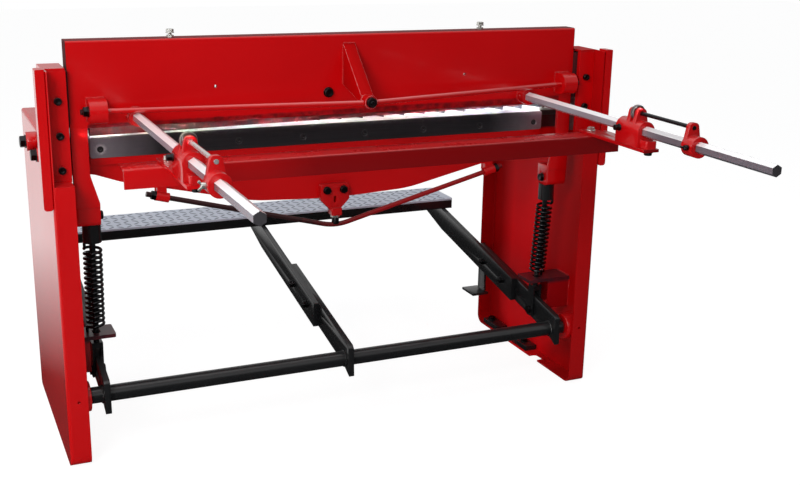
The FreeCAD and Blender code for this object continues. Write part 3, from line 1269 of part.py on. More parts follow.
def main():
    frame = side_frame()
    export("side_frame_right", frame)
    export("side_frame_left", mirrored(frame))
    export("post_bars", *both_sides(post_bar()))
    export("front_guides", *both_sides(front_guide()))
    export("rear_gibs", *both_sides(rear_gib()))
    screws = gib_screws()
    export("gib_screws", *(screws + [mirrored(s) for s in screws]))
    boss, disc = side_boss()
    export("side_bosses", *(both_sides(boss) + both_sides(disc)))
    export("frame_bolts", *frame_bolts())
    export("anchor_pads", *anchor_pads())
    export("bed_table", bed_table())
    export("bed_beam", bed_beam())
    export("bed_skirt", *bed_skirt())
    export("lower_blade", lower_blade())
    export("lower_blade_screws", *lower_screws())
    export("bed_truss_rod", bed_truss_rod())
    export("bed_truss_fittings", *bed_truss_fittings())
    export("bed_truss_bracket", bed_truss_bracket())
    shelf = spring_shelf()
    export("spring_shelf_right", shelf)
    export("spring_shelf_left", mirrored(shelf))
    coil = main_spring("main_spring_right")
    export("main_spring_right", coil)
    export("main_spring_left", mirrored(coil))
    export("treadle_bearings", *both_sides(treadle_bearing()))
    export("hold_down_pins", *both_sides(hold_down_pin_with_head()))
    export("hold_down_springs", *both_sides(hold_down_spring("hold_down_spring")))
    export("ram_beam", ram_beam())
    leg = ram_leg()
    export("ram_leg_right", leg)
    export("ram_leg_left", mirrored(leg))
    export("upper_blade", upper_blade())
    export("upper_blade_screws", *upper_screws())
    export("ram_gusset", ram_gusset())
    export("ram_truss_rod", ram_truss_rod())
    export("ram_truss_nuts", *ram_truss_nuts())
    export("ram_bolts", *ram_bolts())
    export("leg_pivot_pins", *both_sides(leg_pivot_pin()))
    export("spring_cups", *both_sides(spring_cup()))
    bar = gauge_rod()
    export("gauge_rod_right", bar)
    export("gauge_rod_left", mirrored(bar))
    boss = gauge_rod_boss()
    screw = boss_screw()
    export("gauge_rod_bosses", boss, opposite(boss), screw, opposite(screw))
    export("treadle_shaft", treadle_shaft())
    export("rear_arms", *rear_arms())
    export("front_arms", *front_arms())
    export("tread_plate", tread_plate())
    export("tread_angles", *tread_angles())
    export("arm_bolts", *arm_bolts())
    export("stop_foot", stop_foot())
    export("link_pins", *both_sides(link_pin_with_heads()))
    hanger = link()
    export("link_right", hanger)
    export("link_left", mirrored(hanger))
    export("hold_down_bar", hold_down_bar())
    carriage = front_carriage()
    export("front_carriage_right", carriage)
    export("front_carriage_left", opposite(carriage))
    clamp = rear_clamp()
    export("rear_clamp_right", clamp.cut(wing_bore(1)))
    export("rear_clamp_left", opposite(clamp).cut(wing_bore(-1)))
    screw = adjusting_screw()
    export("adjusting_screws", screw, opposite(screw))
    wheel = adjusting_wheel()
    export("adjusting_wheel_right", wheel)
    export("adjusting_wheel_left", opposite(wheel))
    export("wing_screw_right", wing_screw(1))
    export("wing_screw_left", wing_screw(-1))
    export("gauge_bar", *gauge_bar())
    export("gauge_bolts", *gauge_bolts())


main()
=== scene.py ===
# %% [markdown]
# # A foot-operated guillotine shear
# The machine stands on two pressed side frames that carry a fish-belly bed. A ram with a raked blade slides in
# the posts, a treadle pulls it down by two links, and two springs lift it again. Behind it a back gauge rides on
# two hexagon rods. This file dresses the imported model: it gives every part its paint or its steel, adds the
# details that a drawing leaves out, and lights it as a product on a white ground.

# %% Load the model
import math

import bmesh
import bpy
from mathutils import Matrix, Vector


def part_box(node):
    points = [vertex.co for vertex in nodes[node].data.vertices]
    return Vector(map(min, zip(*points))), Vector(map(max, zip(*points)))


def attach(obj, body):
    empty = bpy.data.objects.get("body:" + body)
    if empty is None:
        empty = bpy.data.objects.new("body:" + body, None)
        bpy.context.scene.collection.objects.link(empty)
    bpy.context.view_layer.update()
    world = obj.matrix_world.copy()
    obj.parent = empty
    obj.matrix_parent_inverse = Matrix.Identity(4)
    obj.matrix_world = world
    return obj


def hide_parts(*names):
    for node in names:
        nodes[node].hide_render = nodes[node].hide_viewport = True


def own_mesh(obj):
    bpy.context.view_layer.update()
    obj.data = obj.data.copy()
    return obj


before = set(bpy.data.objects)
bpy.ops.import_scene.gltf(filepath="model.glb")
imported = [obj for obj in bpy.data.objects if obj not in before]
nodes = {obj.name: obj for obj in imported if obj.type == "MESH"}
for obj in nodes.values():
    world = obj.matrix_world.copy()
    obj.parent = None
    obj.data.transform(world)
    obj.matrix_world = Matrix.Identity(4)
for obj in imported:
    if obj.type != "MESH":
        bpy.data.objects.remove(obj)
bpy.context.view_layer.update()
MM = 0.001


# %% [markdown]
# ## A short way to write node trees
# A material is a little graph of nodes. These helpers make a node and fill its sockets, with plain values or with
# the outputs of other nodes. Sockets are named as Blender shows them, with _ for a space, and g is always the
# node tree that is being written.

# %% Make a node and fill its sockets
def feed(socket, value):
    """Join a socket to another node's output, or set it to a plain value."""
    if isinstance(value, bpy.types.NodeSocket):
        socket.id_data.links.new(value, socket)
    elif socket.type == "RGBA":
        socket.default_value = (*value, 1.0)
    else:
        socket.default_value = value


def fill(node, **inputs):
    for name, value in inputs.items():
        feed(node.inputs[name.replace("_", " ")], value)
    return node


def fill_in_order(node, *values):
    for socket, value in zip(node.inputs, values):
        feed(socket, value)
    return node.outputs


def new_node(g, kind, **inputs):
    return fill(g.nodes.new(kind), **inputs)


# %% [markdown]
# ## Formulas and masks
# Wear, dust and dirt are formulas of the place on the object and of the way that a face looks. A mask is such a
# formula brought to run from 0 to 1, and noise breaks it up so that it doesn't look drawn.

# %% Arithmetic
def math_node(g, operation, *values, clamp=False):
    node = new_node(g, "ShaderNodeMath")
    node.operation = operation
    node.use_clamp = clamp
    return fill_in_order(node, *values)[0]


def plus(g, first, second):
    return math_node(g, "ADD", first, second)


def minus(g, first, second):
    return math_node(g, "SUBTRACT", first, second)


def times(g, first, second):
    return math_node(g, "MULTIPLY", first, second)


def vector_node(g, operation, first, second, output="Value"):
    node = new_node(g, "ShaderNodeVectorMath")
    node.operation = operation
    return fill_in_order(node, first, second)[output]


def remap(g, value, low, high, start=0.0, stop=1.0):
    """A value that runs from start to stop, brought to run from low to high."""
    return new_node(g, "ShaderNodeMapRange", Value=value, From_Min=start, From_Max=stop, To_Min=low,
                    To_Max=high).outputs[0]


def mask(g, value, start, stop):
    """0 up to start and 1 from stop."""
    return remap(g, value, 0.0, 1.0, start, stop)


# %% Places, directions and noise
def here(g):
    """The place on the object."""
    return new_node(g, "ShaderNodeTexCoord").outputs["Object"]


def normal(g):
    return new_node(g, "ShaderNodeNewGeometry").outputs["Normal"]


def axes(g, vector):
    return new_node(g, "ShaderNodeSeparateXYZ", Vector=vector).outputs


def at(g, axis):
    """Where a point is along an axis."""
    return axes(g, here(g))[axis]


def facing(g, axis):
    """How much a face looks along an axis."""
    return axes(g, normal(g))[axis]


def noise(g, scale, detail=2.0, roughness=0.5, vector=None):
    return new_node(g, "ShaderNodeTexNoise", Vector=here(g) if vector is None else vector, Scale=scale,
                    Detail=detail, Roughness=roughness).outputs["Fac"]


# %% Node groups
def shader_group(name, inputs, outputs):
    """A group with the plain values of its inputs and the names of its outputs."""
    g = bpy.data.node_groups.new(name, "ShaderNodeTree")
    for label, value in inputs.items():
        kind = "NodeSocketVector" if isinstance(value, tuple) else "NodeSocketFloat"
        g.interface.new_socket(label, in_out="INPUT", socket_type=kind).default_value = value
    for label in outputs:
        kind = "NodeSocketVector" if label == "Normal" else "NodeSocketFloat"
        g.interface.new_socket(label, in_out="OUTPUT", socket_type=kind)
    return g, new_node(g, "NodeGroupInput").outputs, new_node(g, "NodeGroupOutput")


# %% [markdown]
# ## Soft edges and worn edges
# Real plate never ends in a knife edge: paint rounds it, and handling wears it. A Bevel node bends the normals
# near each edge, so every edge catches light without a single extra face. The angle between the bent normal and
# the true one is also a mask of where the edges are, and noise breaks that mask up into wear.

# %% Group: soft and worn edges
def edge_group():
    g, start, end = shader_group("soft_edges", {"Radius": 0.0015, "Break up": 60.0}, ("Normal", "Edge", "Wear"))
    bevel = new_node(g, "ShaderNodeBevel", Radius=start["Radius"])
    bevel.samples = 4
    away = minus(g, 1.0, vector_node(g, "DOT_PRODUCT", bevel.outputs[0], normal(g)))
    edge = math_node(g, "MULTIPLY", away, 6.0, clamp=True)
    broken = mask(g, noise(g, start["Break up"], 4.0, 0.65), 0.52, 0.66)
    fill(end, Normal=bevel.outputs[0], Edge=edge, Wear=times(g, edge, broken))
    return g


SOFT_EDGES = edge_group()
print("soft edges:", len(SOFT_EDGES.nodes), "nodes")


# %% [markdown]
# ## Dust and mottling
# Dust lies on what faces up, in patches, and no sprayed or machined face has quite one tone. One group gives
# both masks: the upward part of the normal times a noise, and a slow cloud of light and dark.

# %% Group: dust and mottling
def dust_group():
    g, start, end = shader_group("dust_and_mottle", {"Dust scale": 9.0, "Mottle scale": 3.0}, ("Dust", "Mottle"))
    up = mask(g, facing(g, "Z"), 0.3, 0.95)
    fill(end, Dust=times(g, up, noise(g, start["Dust scale"], 6.0, 0.6)), Mottle=noise(g, start["Mottle scale"], 3.0))
    return g


DUST = dust_group()
print("dust:", len(DUST.nodes), "nodes")


# %% [markdown]
# ## Machining lines
# A ground blade and a drawn rod show fine lines along their length. Stretching a noise by a factor of sixty
# across them gives such lines; the same lines drive the tone, the roughness and a very small bump.

# %% Group: machining lines
ALONG_X = (1.0, 60.0, 60.0)
ALONG_Y = (60.0, 1.0, 60.0)


def lines_group():
    g, start, end = shader_group("machining_lines", {"Stretch": ALONG_X, "Scale": 8.0}, ("Lines", "Scratches"))
    stretched = vector_node(g, "MULTIPLY", here(g), start["Stretch"], "Vector")
    lines = noise(g, start["Scale"], 5.0, 0.7, stretched)
    fill(end, Lines=lines, Scratches=mask(g, noise(g, 14.0, 8.0, 0.75), 0.6, 0.75))
    return g


LINES = lines_group()
print("lines:", len(LINES.nodes), "nodes")


# %% [markdown]
# ## Paint
# The machine is sprayed in a glossy red straight on steel. Such paint has a clear film on top, a fine orange
# peel, faint waves of the sheet below it, darker red where it is thick and a paler, duller film of dust on top
# faces. The cast parts wear the same red over a rough skin, so the bump is a named strength. A greasy film, where
# there is one, is a mask: it darkens the tone, dulls the shine and takes the clear coat away; in narrow slits the
# same dark film is painted shade. A glint, where there is one, is a painted highlight along the edges.

# %% Colours, bumps and groups in a material
def mix(g, factor, first, second):
    """One colour laid over another by a factor."""
    node = new_node(g, "ShaderNodeMix")
    node.data_type = "RGBA"
    for index, value in ((0, factor), (6, first), (7, second)):
        feed(node.inputs[index], value)
    return node.outputs[2]


def bump(g, strength, distance, height, below):
    """Relief from a height, on top of the relief below it."""
    return new_node(g, "ShaderNodeBump", Strength=strength, Distance=distance, Height=height,
                    Normal=below).outputs[0]


def use_group(g, group, **inputs):
    node = new_node(g, "ShaderNodeGroup")
    node.node_tree = group
    return fill(node, **inputs).outputs


def new_material(name):
    material = bpy.data.materials.new(name)
    material.use_nodes = True
    return material, material.node_tree, material.node_tree.nodes["Principled BSDF"]


# %% Material: sprayed paint
# Dark film: grease on the truss rod's stubs, and painted shade in the slits beside the guides and at the upper blade's
# ends.
GREASE_AND_SHADE = (0.055, 0.003, 0.005)


def paint(name, tones, peel=0.12, waves=0.03, roughness=0.2, coat=0.3, wear=None, edge_radius=0.0015, cast=0.0,
          dust_most=0.1, overlay=None, ior=1.42, painted_glint=None, grease_and_shade=None, coat_ior=1.35, specular=0.5):
    colour, deep, dusty = tones
    material, g, shader = new_material(name)
    edges = use_group(g, SOFT_EDGES, Radius=edge_radius, Break_up=70.0)
    dust = use_group(g, DUST, Dust_scale=11.0, Mottle_scale=2.6)
    tone = mix(g, dust["Mottle"], deep, colour)
    if overlay:
        tone = overlay(g, tone)
    tone = mix(g, remap(g, dust["Dust"], 0.0, dust_most), tone, dusty)
    if wear:
        tone = mix(g, remap(g, edges["Wear"], 0.0, 0.75), tone, wear)
    # A painted highlight along the edges.
    if painted_glint:
        tone = mix(g, remap(g, edges["Edge"], 0.0, 0.9, 0.15, 0.8), tone, painted_glint)
    rough = plus(g, remap(g, dust["Mottle"], roughness * 0.8, roughness * 1.25), remap(g, dust["Dust"], 0.0, 0.16))
    if grease_and_shade:
        film_and_shade = grease_and_shade(g)
        tone = mix(g, film_and_shade, tone, GREASE_AND_SHADE)
        rough = math_node(g, "MAXIMUM", rough, film_and_shade)
        coat = remap(g, film_and_shade, coat, 0.0)
    skin = bump(g, waves, 0.01, noise(g, 7.0), edges["Normal"])
    if cast:
        skin = bump(g, cast, 0.0012, noise(g, 160.0, 5.0, 0.6), skin)
    fill(shader, Base_Color=tone, Roughness=rough, Coat_Weight=coat, Coat_Roughness=0.05, Coat_IOR=coat_ior,
         IOR=ior, Specular_IOR_Level=specular, Normal=bump(g, peel, 0.0004, noise(g, 420.0), skin))
    return material


# %% [markdown]
# ## Dirt and painted shade, by place on the machine
# Most plates are the plain red, but some faces differ. The ram's lower strip is grimy; the spring shelves are
# painted darker, a painted shade, with blotches of old grease; and everything that slides in the guides is dull and
# dark with grease, which in the narrow slits beside the guides is also painted shade. Each is the same paint with a
# mask that is driven by the place on the machine, not by the camera or the lamps.

# %% Blotches and ends
FADE = 0.0004


def blotches(g, scale):
    return noise(g, scale, 6.0, 0.7)


def beyond(g, coordinate, edge):
    """A mask that is 1 where a coordinate's size is past an edge."""
    return mask(g, math_node(g, "ABSOLUTE", coordinate), edge, edge + FADE)


# %% Greasy films and painted shade
RAM_TOP = 1.102
GUIDE_SIDE = 0.7272
BLADE_TIP = 0.6724


def sliding_ends(g):
    """The ram's ends and the outer sides of its legs run beside the guides: a greasy film that also paints the shade in
    the narrow slits there. The ram's top is dark and dull too.
    """
    top = remap(g, at(g, "Z"), 0.0, 0.85, RAM_TOP - 0.001, RAM_TOP - 0.0006)
    return math_node(g, "MAXIMUM", beyond(g, at(g, "X"), GUIDE_SIDE), top)


# The upper blade's ends beside the legs are dark and dull: painted shade in the slits.
def blade_ends(g):
    return beyond(g, at(g, "X"), BLADE_TIP)


def stub_ends(g):
    """The threads of the truss rod past its two nuts, which aren't quite the same distance out."""
    return beyond(g, plus(g, at(g, "X"), 0.013), 0.699)


# %% Grime on the ram; grime and painted shade on the bed and the shelves
def grimy_strip(g, tone):
    """Dark mottled paint between the legs, below a line that climbs towards -X."""
    speckle = blotches(g, 38.0)
    line = plus(g, plus(g, at(g, "Z"), times(g, at(g, "X"), 0.0082)), times(g, speckle, 0.006))
    below = remap(g, line, 1.0, 0.0, 0.8995, 0.9045)
    between = minus(g, 1.0, beyond(g, at(g, "X"), 0.685))
    dark = mix(g, mask(g, speckle, 0.38, 0.62), (0.085, 0.003, 0.005), (0.34, 0.004, 0.007))
    return mix(g, times(g, times(g, below, between), 0.92), tone, dark)


def grimy_bed(g, tone):
    """Beside the blade's far end the bed is painted dark: dirt and painted shade."""
    dirt_and_shade = times(g, remap(g, at(g, "X"), 1.0, 0.0, -0.6735, -0.6728), mask(g, at(g, "Z"), 0.79, 0.797))
    return mix(g, dirt_and_shade, tone, (0.045, 0.006, 0.008))


# The shelves are painted dark: painted shade, with blotches of old grease on their tops.
def greasy_shelf(g, tone):
    film_and_shade = times(g, mask(g, at(g, "Z"), 0.3, 0.311), remap(g, blotches(g, 26.0), 0.72, 1.0, 0.3, 0.6))
    return mix(g, film_and_shade, tone, (0.05, 0.012, 0.018))


# %% [markdown]
# ## Uneven spray, painted shade and painted light
# A spray gun misses what is behind something else. The blade's back shows patches of dark steel, and the bed's truss
# rod is black on its +X half and dull red on the other. One end of the gauge bar's rear face is painted darker, a
# painted shade, and the middle of the inner side panel is painted brighter, a painted pool of light.

# %% Uneven spray, painted shade and painted light
def overspray(g, tone):
    return mix(g, mask(g, blotches(g, 30.0), 0.36, 0.6), tone, (0.055, 0.008, 0.011))


def half_sprayed(g, tone):
    across = plus(g, at(g, "X"), times(g, blotches(g, 22.0), 0.24))
    return mix(g, remap(g, across, 0.0, 0.94, -0.02, 0.22), tone, (0.012, 0.009, 0.01))


def deeper_far_side(g, tone):
    """The bar's rear face is painted darker towards -X: a painted shade, where the light falls off."""
    rear = remap(g, facing(g, "Y"), 0.35, 1.0, 0.5, 0.9)
    along = remap(g, at(g, "X"), 1.0, 0.0, 0.22, 0.56)
    return mix(g, times(g, rear, along), tone, (0.225, 0.0014, 0.0026))


def fresh_middle(g, tone):
    """Inside the frame the middle of the panel is painted brighter red: a painted pool of light."""
    y = at(g, "Y")
    middle = times(g, mask(g, y, -0.25, -0.17), remap(g, y, 1.0, 0.0, 0.02, 0.2))
    return mix(g, middle, tone, (0.95, 0.006, 0.011))


# %% [markdown]
# ## The paints
# Every paint is three tones: where it is thin, where it is thick, and dusty. A few numbers then say how it shines.
# The gusset's edges carry a painted highlight in pale pink along each fold.

# %% Paints
DUSTY = (0.62, 0.1, 0.1)
BODY = ((0.64, 0.002, 0.004), (0.52, 0.001, 0.0022), DUSTY)
RED = paint("machine_red", BODY)
CAST_RED = paint("cast_red", ((0.62, 0.0022, 0.0045), (0.44, 0.0008, 0.0018), DUSTY), peel=0.18,
                 cast=0.25, roughness=0.26, edge_radius=0.0025, coat=0.7)
LEG_RED = paint("leg_red", BODY, grease_and_shade=sliding_ends)
BED_RED = paint("bed_red", BODY, overlay=grimy_bed)
GAUGE_RED = paint("gauge_red", ((0.62, 0.002, 0.004), (0.48, 0.001, 0.0022), DUSTY),
                  overlay=deeper_far_side)
INNER_RED = paint("inner_red", ((0.52, 0.0016, 0.003), (0.4, 0.0008, 0.0018), (0.5, 0.05, 0.05)), roughness=0.5,
                  coat=0.0, ior=1.3, specular=0.25, overlay=fresh_middle)
GUSSET_RED = paint("gusset_red", ((0.5, 0.001, 0.002), (0.42, 0.0006, 0.0014), (0.5, 0.01, 0.01)),
                   roughness=0.5, coat=0.0, specular=0.04, edge_radius=0.0012, painted_glint=(1.0, 0.74, 0.76))
RAM_RED = paint("ram_red", BODY, overlay=grimy_strip, grease_and_shade=sliding_ends)
ROD_RED = paint("truss_red", ((0.64, 0.002, 0.004), (0.5, 0.001, 0.0022), DUSTY), peel=0.03,
                roughness=0.1, coat=1.0, coat_ior=1.7, waves=0.0, grease_and_shade=stub_ends)
RAM_BLADE = paint("ram_blade_red", ((0.3, 0.003, 0.0055), (0.16, 0.0016, 0.003), (0.3, 0.06, 0.06)), coat=0.2,
                  roughness=0.32, overlay=overspray, grease_and_shade=blade_ends)
TRUSS_RED = paint("truss_rod_red", ((0.36, 0.003, 0.006), (0.26, 0.0016, 0.003), (0.36, 0.06, 0.06)), coat=0.2,
                  roughness=0.28, overlay=half_sprayed)
# The shelves' red is darker than the body red: painted shade.
SHELF_RED = paint("shelf_red", ((0.4, 0.004, 0.007), (0.3, 0.002, 0.004), (0.24, 0.12, 0.14)), coat=0.25,
                  roughness=0.26, overlay=greasy_shelf)
BLACK = paint("frame_black", ((0.014, 0.0145, 0.016), (0.007, 0.0075, 0.008), (0.14, 0.14, 0.15)), roughness=0.26,
              coat=0.45, peel=0.2, wear=(0.16, 0.16, 0.17), dust_most=0.05, ior=1.48)
print("paints", sum(material.name.endswith(("red", "black")) for material in bpy.data.materials))


# %% [markdown]
# ## Tread plate
# The pedal is chequer plate, painted a pale blue grey. The plate itself keeps the pale paint; the raised bars,
# which come later as real geometry, are painted a darker tone that stands for their shaded sides: a painted shade.

# %% Material: tread paint
TREAD = paint("tread_grey", ((0.74, 0.79, 0.9), (0.64, 0.7, 0.83), (0.8, 0.84, 0.9)), roughness=0.34,
              coat=0.05, peel=0.3, wear=(0.3, 0.33, 0.38))
# The bars' darker tone is painted shade.
TREAD_BAR = paint("tread_bar", ((0.27, 0.31, 0.39), (0.19, 0.22, 0.29), (0.48, 0.52, 0.58)), roughness=0.34,
                  coat=0.05, peel=0.2, wear=(0.5, 0.52, 0.56))
print("tread", TREAD.name, "and", TREAD_BAR.name)


# %% [markdown]
# ## Steel
# Bare steel is a metal: its colour is the tint of its reflections. The blade is ground and dull, the rods are
# drawn and bright, the screws are oil-blackened, and the springs are dark with a shine along each turn.

# %% Material: bare and blackened steel
def steel(name, tone, dark, roughness, stretch=ALONG_X, line_depth=0.15, spread=0.1, metallic=1.0, overlay=None):
    material, g, shader = new_material(name)
    edges = use_group(g, SOFT_EDGES, Radius=0.0008, Break_up=90.0)
    lines = use_group(g, LINES, Stretch=stretch, Scale=8.0)
    dust = use_group(g, DUST, Dust_scale=14.0, Mottle_scale=5.0)
    fill(shader, Metallic=metallic)
    body = mix(g, lines["Lines"], dark, tone)
    body = mix(g, remap(g, dust["Mottle"], 0.0, 0.35), body, dark)
    body = mix(g, remap(g, edges["Edge"], 0.0, 0.5), body, tuple(min(1.0, part * 1.5) for part in tone))
    if overlay:
        body = overlay(g, body, shader)
    rough = plus(g, remap(g, lines["Lines"], roughness - spread * 0.5, roughness + spread * 0.5),
                 remap(g, lines["Scratches"], 0.0, 0.08))
    fill(shader, Base_Color=body, Roughness=rough,
         Normal=bump(g, line_depth, 0.0003, lines["Lines"], edges["Normal"]))
    return material


# %% [markdown]
# ## Steel with painted highlights
# In some places the steel gives way to a pale, non-metal colour, which is a painted highlight: on the table beside
# the blade, on the fingers' feet and on the rods' upper flats.

# %% Overlays of the steels
FINGER_PITCH = 0.065
FOOT_RISE = 0.012
ROD_END = 1.292
PAST_BLADE_SHADE = (0.03, 0.012, 0.013)


def polished_strip(g, tone, shader):
    """The table is painted near white beside the blade, a painted highlight, and dark past the blade's end, a painted
    shade.
    """
    near = mask(g, at(g, "Y"), 0.108, 0.116)
    past = times(g, beyond(g, at(g, "X"), 0.674), mask(g, at(g, "Y"), 0.112, 0.12))
    fill(shader, Metallic=remap(g, near, 0.6, 0.05))
    return mix(g, past, mix(g, near, tone, (0.95, 0.95, 0.95)), PAST_BLADE_SHADE)


def bright_feet(g, tone, shader):
    """Each finger's foot is painted near white, higher at its +X end: a painted highlight that stands for the lit table
    seen through the gap.
    """
    across = math_node(g, "FRACT", plus(g, math_node(g, "DIVIDE", at(g, "X"), FINGER_PITCH), 0.5))
    height = minus(g, at(g, "Z"), times(g, across, FOOT_RISE))
    return mix(g, remap(g, height, 1.0, 0.0, 0.852, 0.853), tone, (0.97, 0.97, 0.98))


def drawn_facets(g, tone, shader):
    """The upper flat is painted white, a painted highlight; the sides turn from chrome to a soft grey towards the rod's
    sawn, dark end.
    """
    y = at(g, "Y")
    up = mask(g, facing(g, "Z"), 0.6, 0.8)
    fill(shader, Metallic=remap(g, up, 0.55, 0.25))
    towards_grey = plus(g, y, times(g, blotches(g, 60.0), 0.16))
    sides = mix(g, remap(g, towards_grey, 0.0, 0.85, 0.82, 1.0), tone, (0.2, 0.19, 0.225))
    flats = mix(g, up, sides, (0.96, 0.95, 0.97))
    return mix(g, mask(g, y, ROD_END - 0.0008, ROD_END - 0.0003), flats, (0.1, 0.095, 0.105))


def dark_far_screw(g, tone, shader):
    """The two adjusting screws differ: the one at -X is nearly black."""
    return mix(g, remap(g, at(g, "X"), 1.0, 0.0, -0.1, 0.1), tone, (0.018, 0.018, 0.02))


# %% Steels
TABLE = steel("table_steel", (0.8, 0.8, 0.81), (0.64, 0.64, 0.65), 0.3, line_depth=0.1, metallic=0.6,
              overlay=polished_strip)
GUIDE = steel("guide_steel", (0.7, 0.7, 0.71), (0.54, 0.54, 0.55), 0.3, line_depth=0.1, metallic=0.8)
FINGER = steel("finger_steel", (0.075, 0.07, 0.095), (0.045, 0.042, 0.058), 0.42, stretch=(40.0, 1.0, 40.0),
               metallic=0.05, overlay=bright_feet)
ROD = steel("rod_chrome", (0.66, 0.64, 0.72), (0.46, 0.44, 0.5), 0.24, stretch=ALONG_Y, spread=0.08,
            overlay=drawn_facets)
ZINC = steel("zinc_plate", (0.76, 0.75, 0.71), (0.58, 0.57, 0.53), 0.24, line_depth=0.05, metallic=0.85)
ADJUSTER = steel("adjusting_screw", (0.86, 0.85, 0.84), (0.6, 0.59, 0.58), 0.22, line_depth=0.05, metallic=0.7,
                 overlay=dark_far_screw)
SPRING = steel("spring_black", (0.06, 0.06, 0.064), (0.028, 0.028, 0.03), 0.26, line_depth=0.05)
SCREW_BLACK = steel("screw_black", (0.045, 0.045, 0.048), (0.02, 0.02, 0.022), 0.34, line_depth=0.05)
BLADE_SCREW = steel("blade_screw", (0.085, 0.078, 0.085), (0.05, 0.046, 0.05), 0.4, line_depth=0.05,
                    metallic=0.8)
WHEEL = steel("wheel_steel", (0.3, 0.3, 0.3), (0.15, 0.15, 0.15), 0.3, stretch=ALONG_Y)
print("paints and steels", len(bpy.data.materials))


# %% [markdown]
# ## The lower blade
# The lower blade is tool steel, dark and flat ground. Its two ends are rubbed paler and there is a bright ring
# where the first screw was dressed; position drives these. Its edges are paler, and its top face is painted near
# white by the way it faces: a painted highlight.

# %% Where the blade is
BLADE_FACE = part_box("lower_blade")[1][1]
SCREW_LINE = (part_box("lower_blade_screws")[0][2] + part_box("lower_blade_screws")[1][2]) / 2.0
FIRST_SCREW = (0.646, BLADE_FACE, SCREW_LINE)
print("blade face at", round(BLADE_FACE, 4), "screws at", round(SCREW_LINE, 4))


# %% Material: lower blade
def blade_steel():
    material, g, shader = new_material("blade_steel")
    edges = use_group(g, SOFT_EDGES, Radius=0.0006, Break_up=90.0)
    lines = use_group(g, LINES, Stretch=ALONG_X, Scale=8.0)
    from_middle = math_node(g, "ABSOLUTE", at(g, "X"))
    end = mask(g, plus(g, from_middle, times(g, blotches(g, 6.0), 0.1)), 0.54, 0.74)
    tone = mix(g, lines["Lines"], (0.075, 0.07, 0.08), (0.15, 0.14, 0.155))
    tone = mix(g, end, tone, (0.6, 0.53, 0.6))
    from_screw = plus(g, vector_node(g, "DISTANCE", here(g), FIRST_SCREW), times(g, blotches(g, 90.0), 0.012))
    dressed = times(g, remap(g, from_screw, 1.0, 0.0, 0.017, 0.024), remap(g, blotches(g, 160.0), 0.3, 1.0, 0.42, 0.58))
    tone = mix(g, dressed, tone, (0.95, 0.9, 0.93))
    tone = mix(g, remap(g, edges["Edge"], 0.0, 0.6), tone, (0.75, 0.74, 0.76))
    # The top face is painted near white: a painted highlight.
    top = mask(g, facing(g, "Z"), 0.6, 0.9)
    rough = plus(g, remap(g, lines["Lines"], 0.26, 0.4), times(g, end, 0.12))
    fill(shader, Metallic=remap(g, top, 0.9, 0.1), Base_Color=mix(g, top, tone, (0.95, 0.95, 0.95)),
         Roughness=rough, Normal=bump(g, 0.12, 0.0003, lines["Lines"], edges["Normal"]))
    return material


BLADE = blade_steel()
print("blade", len(BLADE.node_tree.nodes), "nodes")


# %% [markdown]
# ## Which node takes which finish
# The construction already has every piece in its own node, so dressing is a table from finish to nodes. The
# nodes that are not named anywhere else are the painted plate of the machine.

# %% The tables
def pair(name):
    return [name + "_left", name + "_right"]


FINISHES = {
    BLACK: ["treadle_shaft", "rear_arms", "front_arms", "tread_angles", "stop_foot", "link_left", "link_right",
            "anchor_pads", "spring_cups"],
    SCREW_BLACK: ["gib_screws", "frame_bolts", "arm_bolts", "link_pins", "leg_pivot_pins", "ram_truss_nuts",
                  "bed_truss_fittings", "gauge_bolts", "wing_screw_left"],
    SPRING: pair("main_spring"),
    BLADE: ["lower_blade"],
    RAM_BLADE: ["upper_blade"],
    TABLE: ["bed_table"],
    GUIDE: ["front_guides", "upper_blade_screws"],
    BLADE_SCREW: ["lower_blade_screws"],
    INNER_RED: ["side_frame_left"],
    GUSSET_RED: ["ram_gusset"],
    LEG_RED: pair("ram_leg"),
    BED_RED: ["bed_beam"],
    GAUGE_RED: ["gauge_bar"],
    ROD_RED: ["ram_truss_rod"],
    FINGER: ["hold_down_bar"],
    ROD: pair("gauge_rod"),
    ZINC: ["ram_bolts", "hold_down_pins", "hold_down_springs", "wing_screw_right"],
    ADJUSTER: ["adjusting_screws"],
    WHEEL: pair("adjusting_wheel"),
    TREAD: ["tread_plate"],
    RAM_RED: ["ram_beam"],
    SHELF_RED: pair("spring_shelf"),
    TRUSS_RED: ["bed_truss_rod"],
    CAST_RED: [*pair("front_carriage"), *pair("rear_clamp"), "treadle_bearings", "bed_truss_bracket",
               "gauge_rod_bosses", "side_bosses"],
}

# %% Dress the nodes
finish_of = {name: finish for finish, names in FINISHES.items() for name in names}
for name, node in nodes.items():
    finish = finish_of.get(name, RED)
    for slot_on_node in node.material_slots:
        slot_on_node.material = finish
    if not node.material_slots:
        node.data.materials.append(finish)
print("finishes", len(FINISHES) + 1)


# %% [markdown]
# ## Shapes from rows of points
# Bolts, washers and wheels are all rows of points round an axis, skinned from one row to the next. A row of one
# point closes an end. A hexagon is a row too, whose radius swells at its corners, and the cone that a lathe cuts
# on a real bolt head lowers the corners of the top row.

# %% Rows, rings and hexagons
SIDES = 24


def skin(bm, rows):
    """Join rows of points, given in millimetres round Z, into a closed skin."""
    made = [[bm.verts.new(Vector(p) * MM) for p in row] for row in rows]
    for low, high in zip(made, made[1:]):
        count = max(len(low), len(high))
        for k in range(count):
            ahead = (k + 1) % count
            start = [low[0]] if len(low) == 1 else [low[k], low[ahead]]
            finish = [high[0]] if len(high) == 1 else [high[ahead], high[k]]
            bm.faces.new(start + finish)


def ring(radius, height, sides=SIDES):
    if radius == 0.0:
        return [(0.0, 0.0, height)]
    turn = 2.0 * math.pi / sides
    return [(radius * math.cos(k * turn), radius * math.sin(k * turn), height) for k in range(sides)]


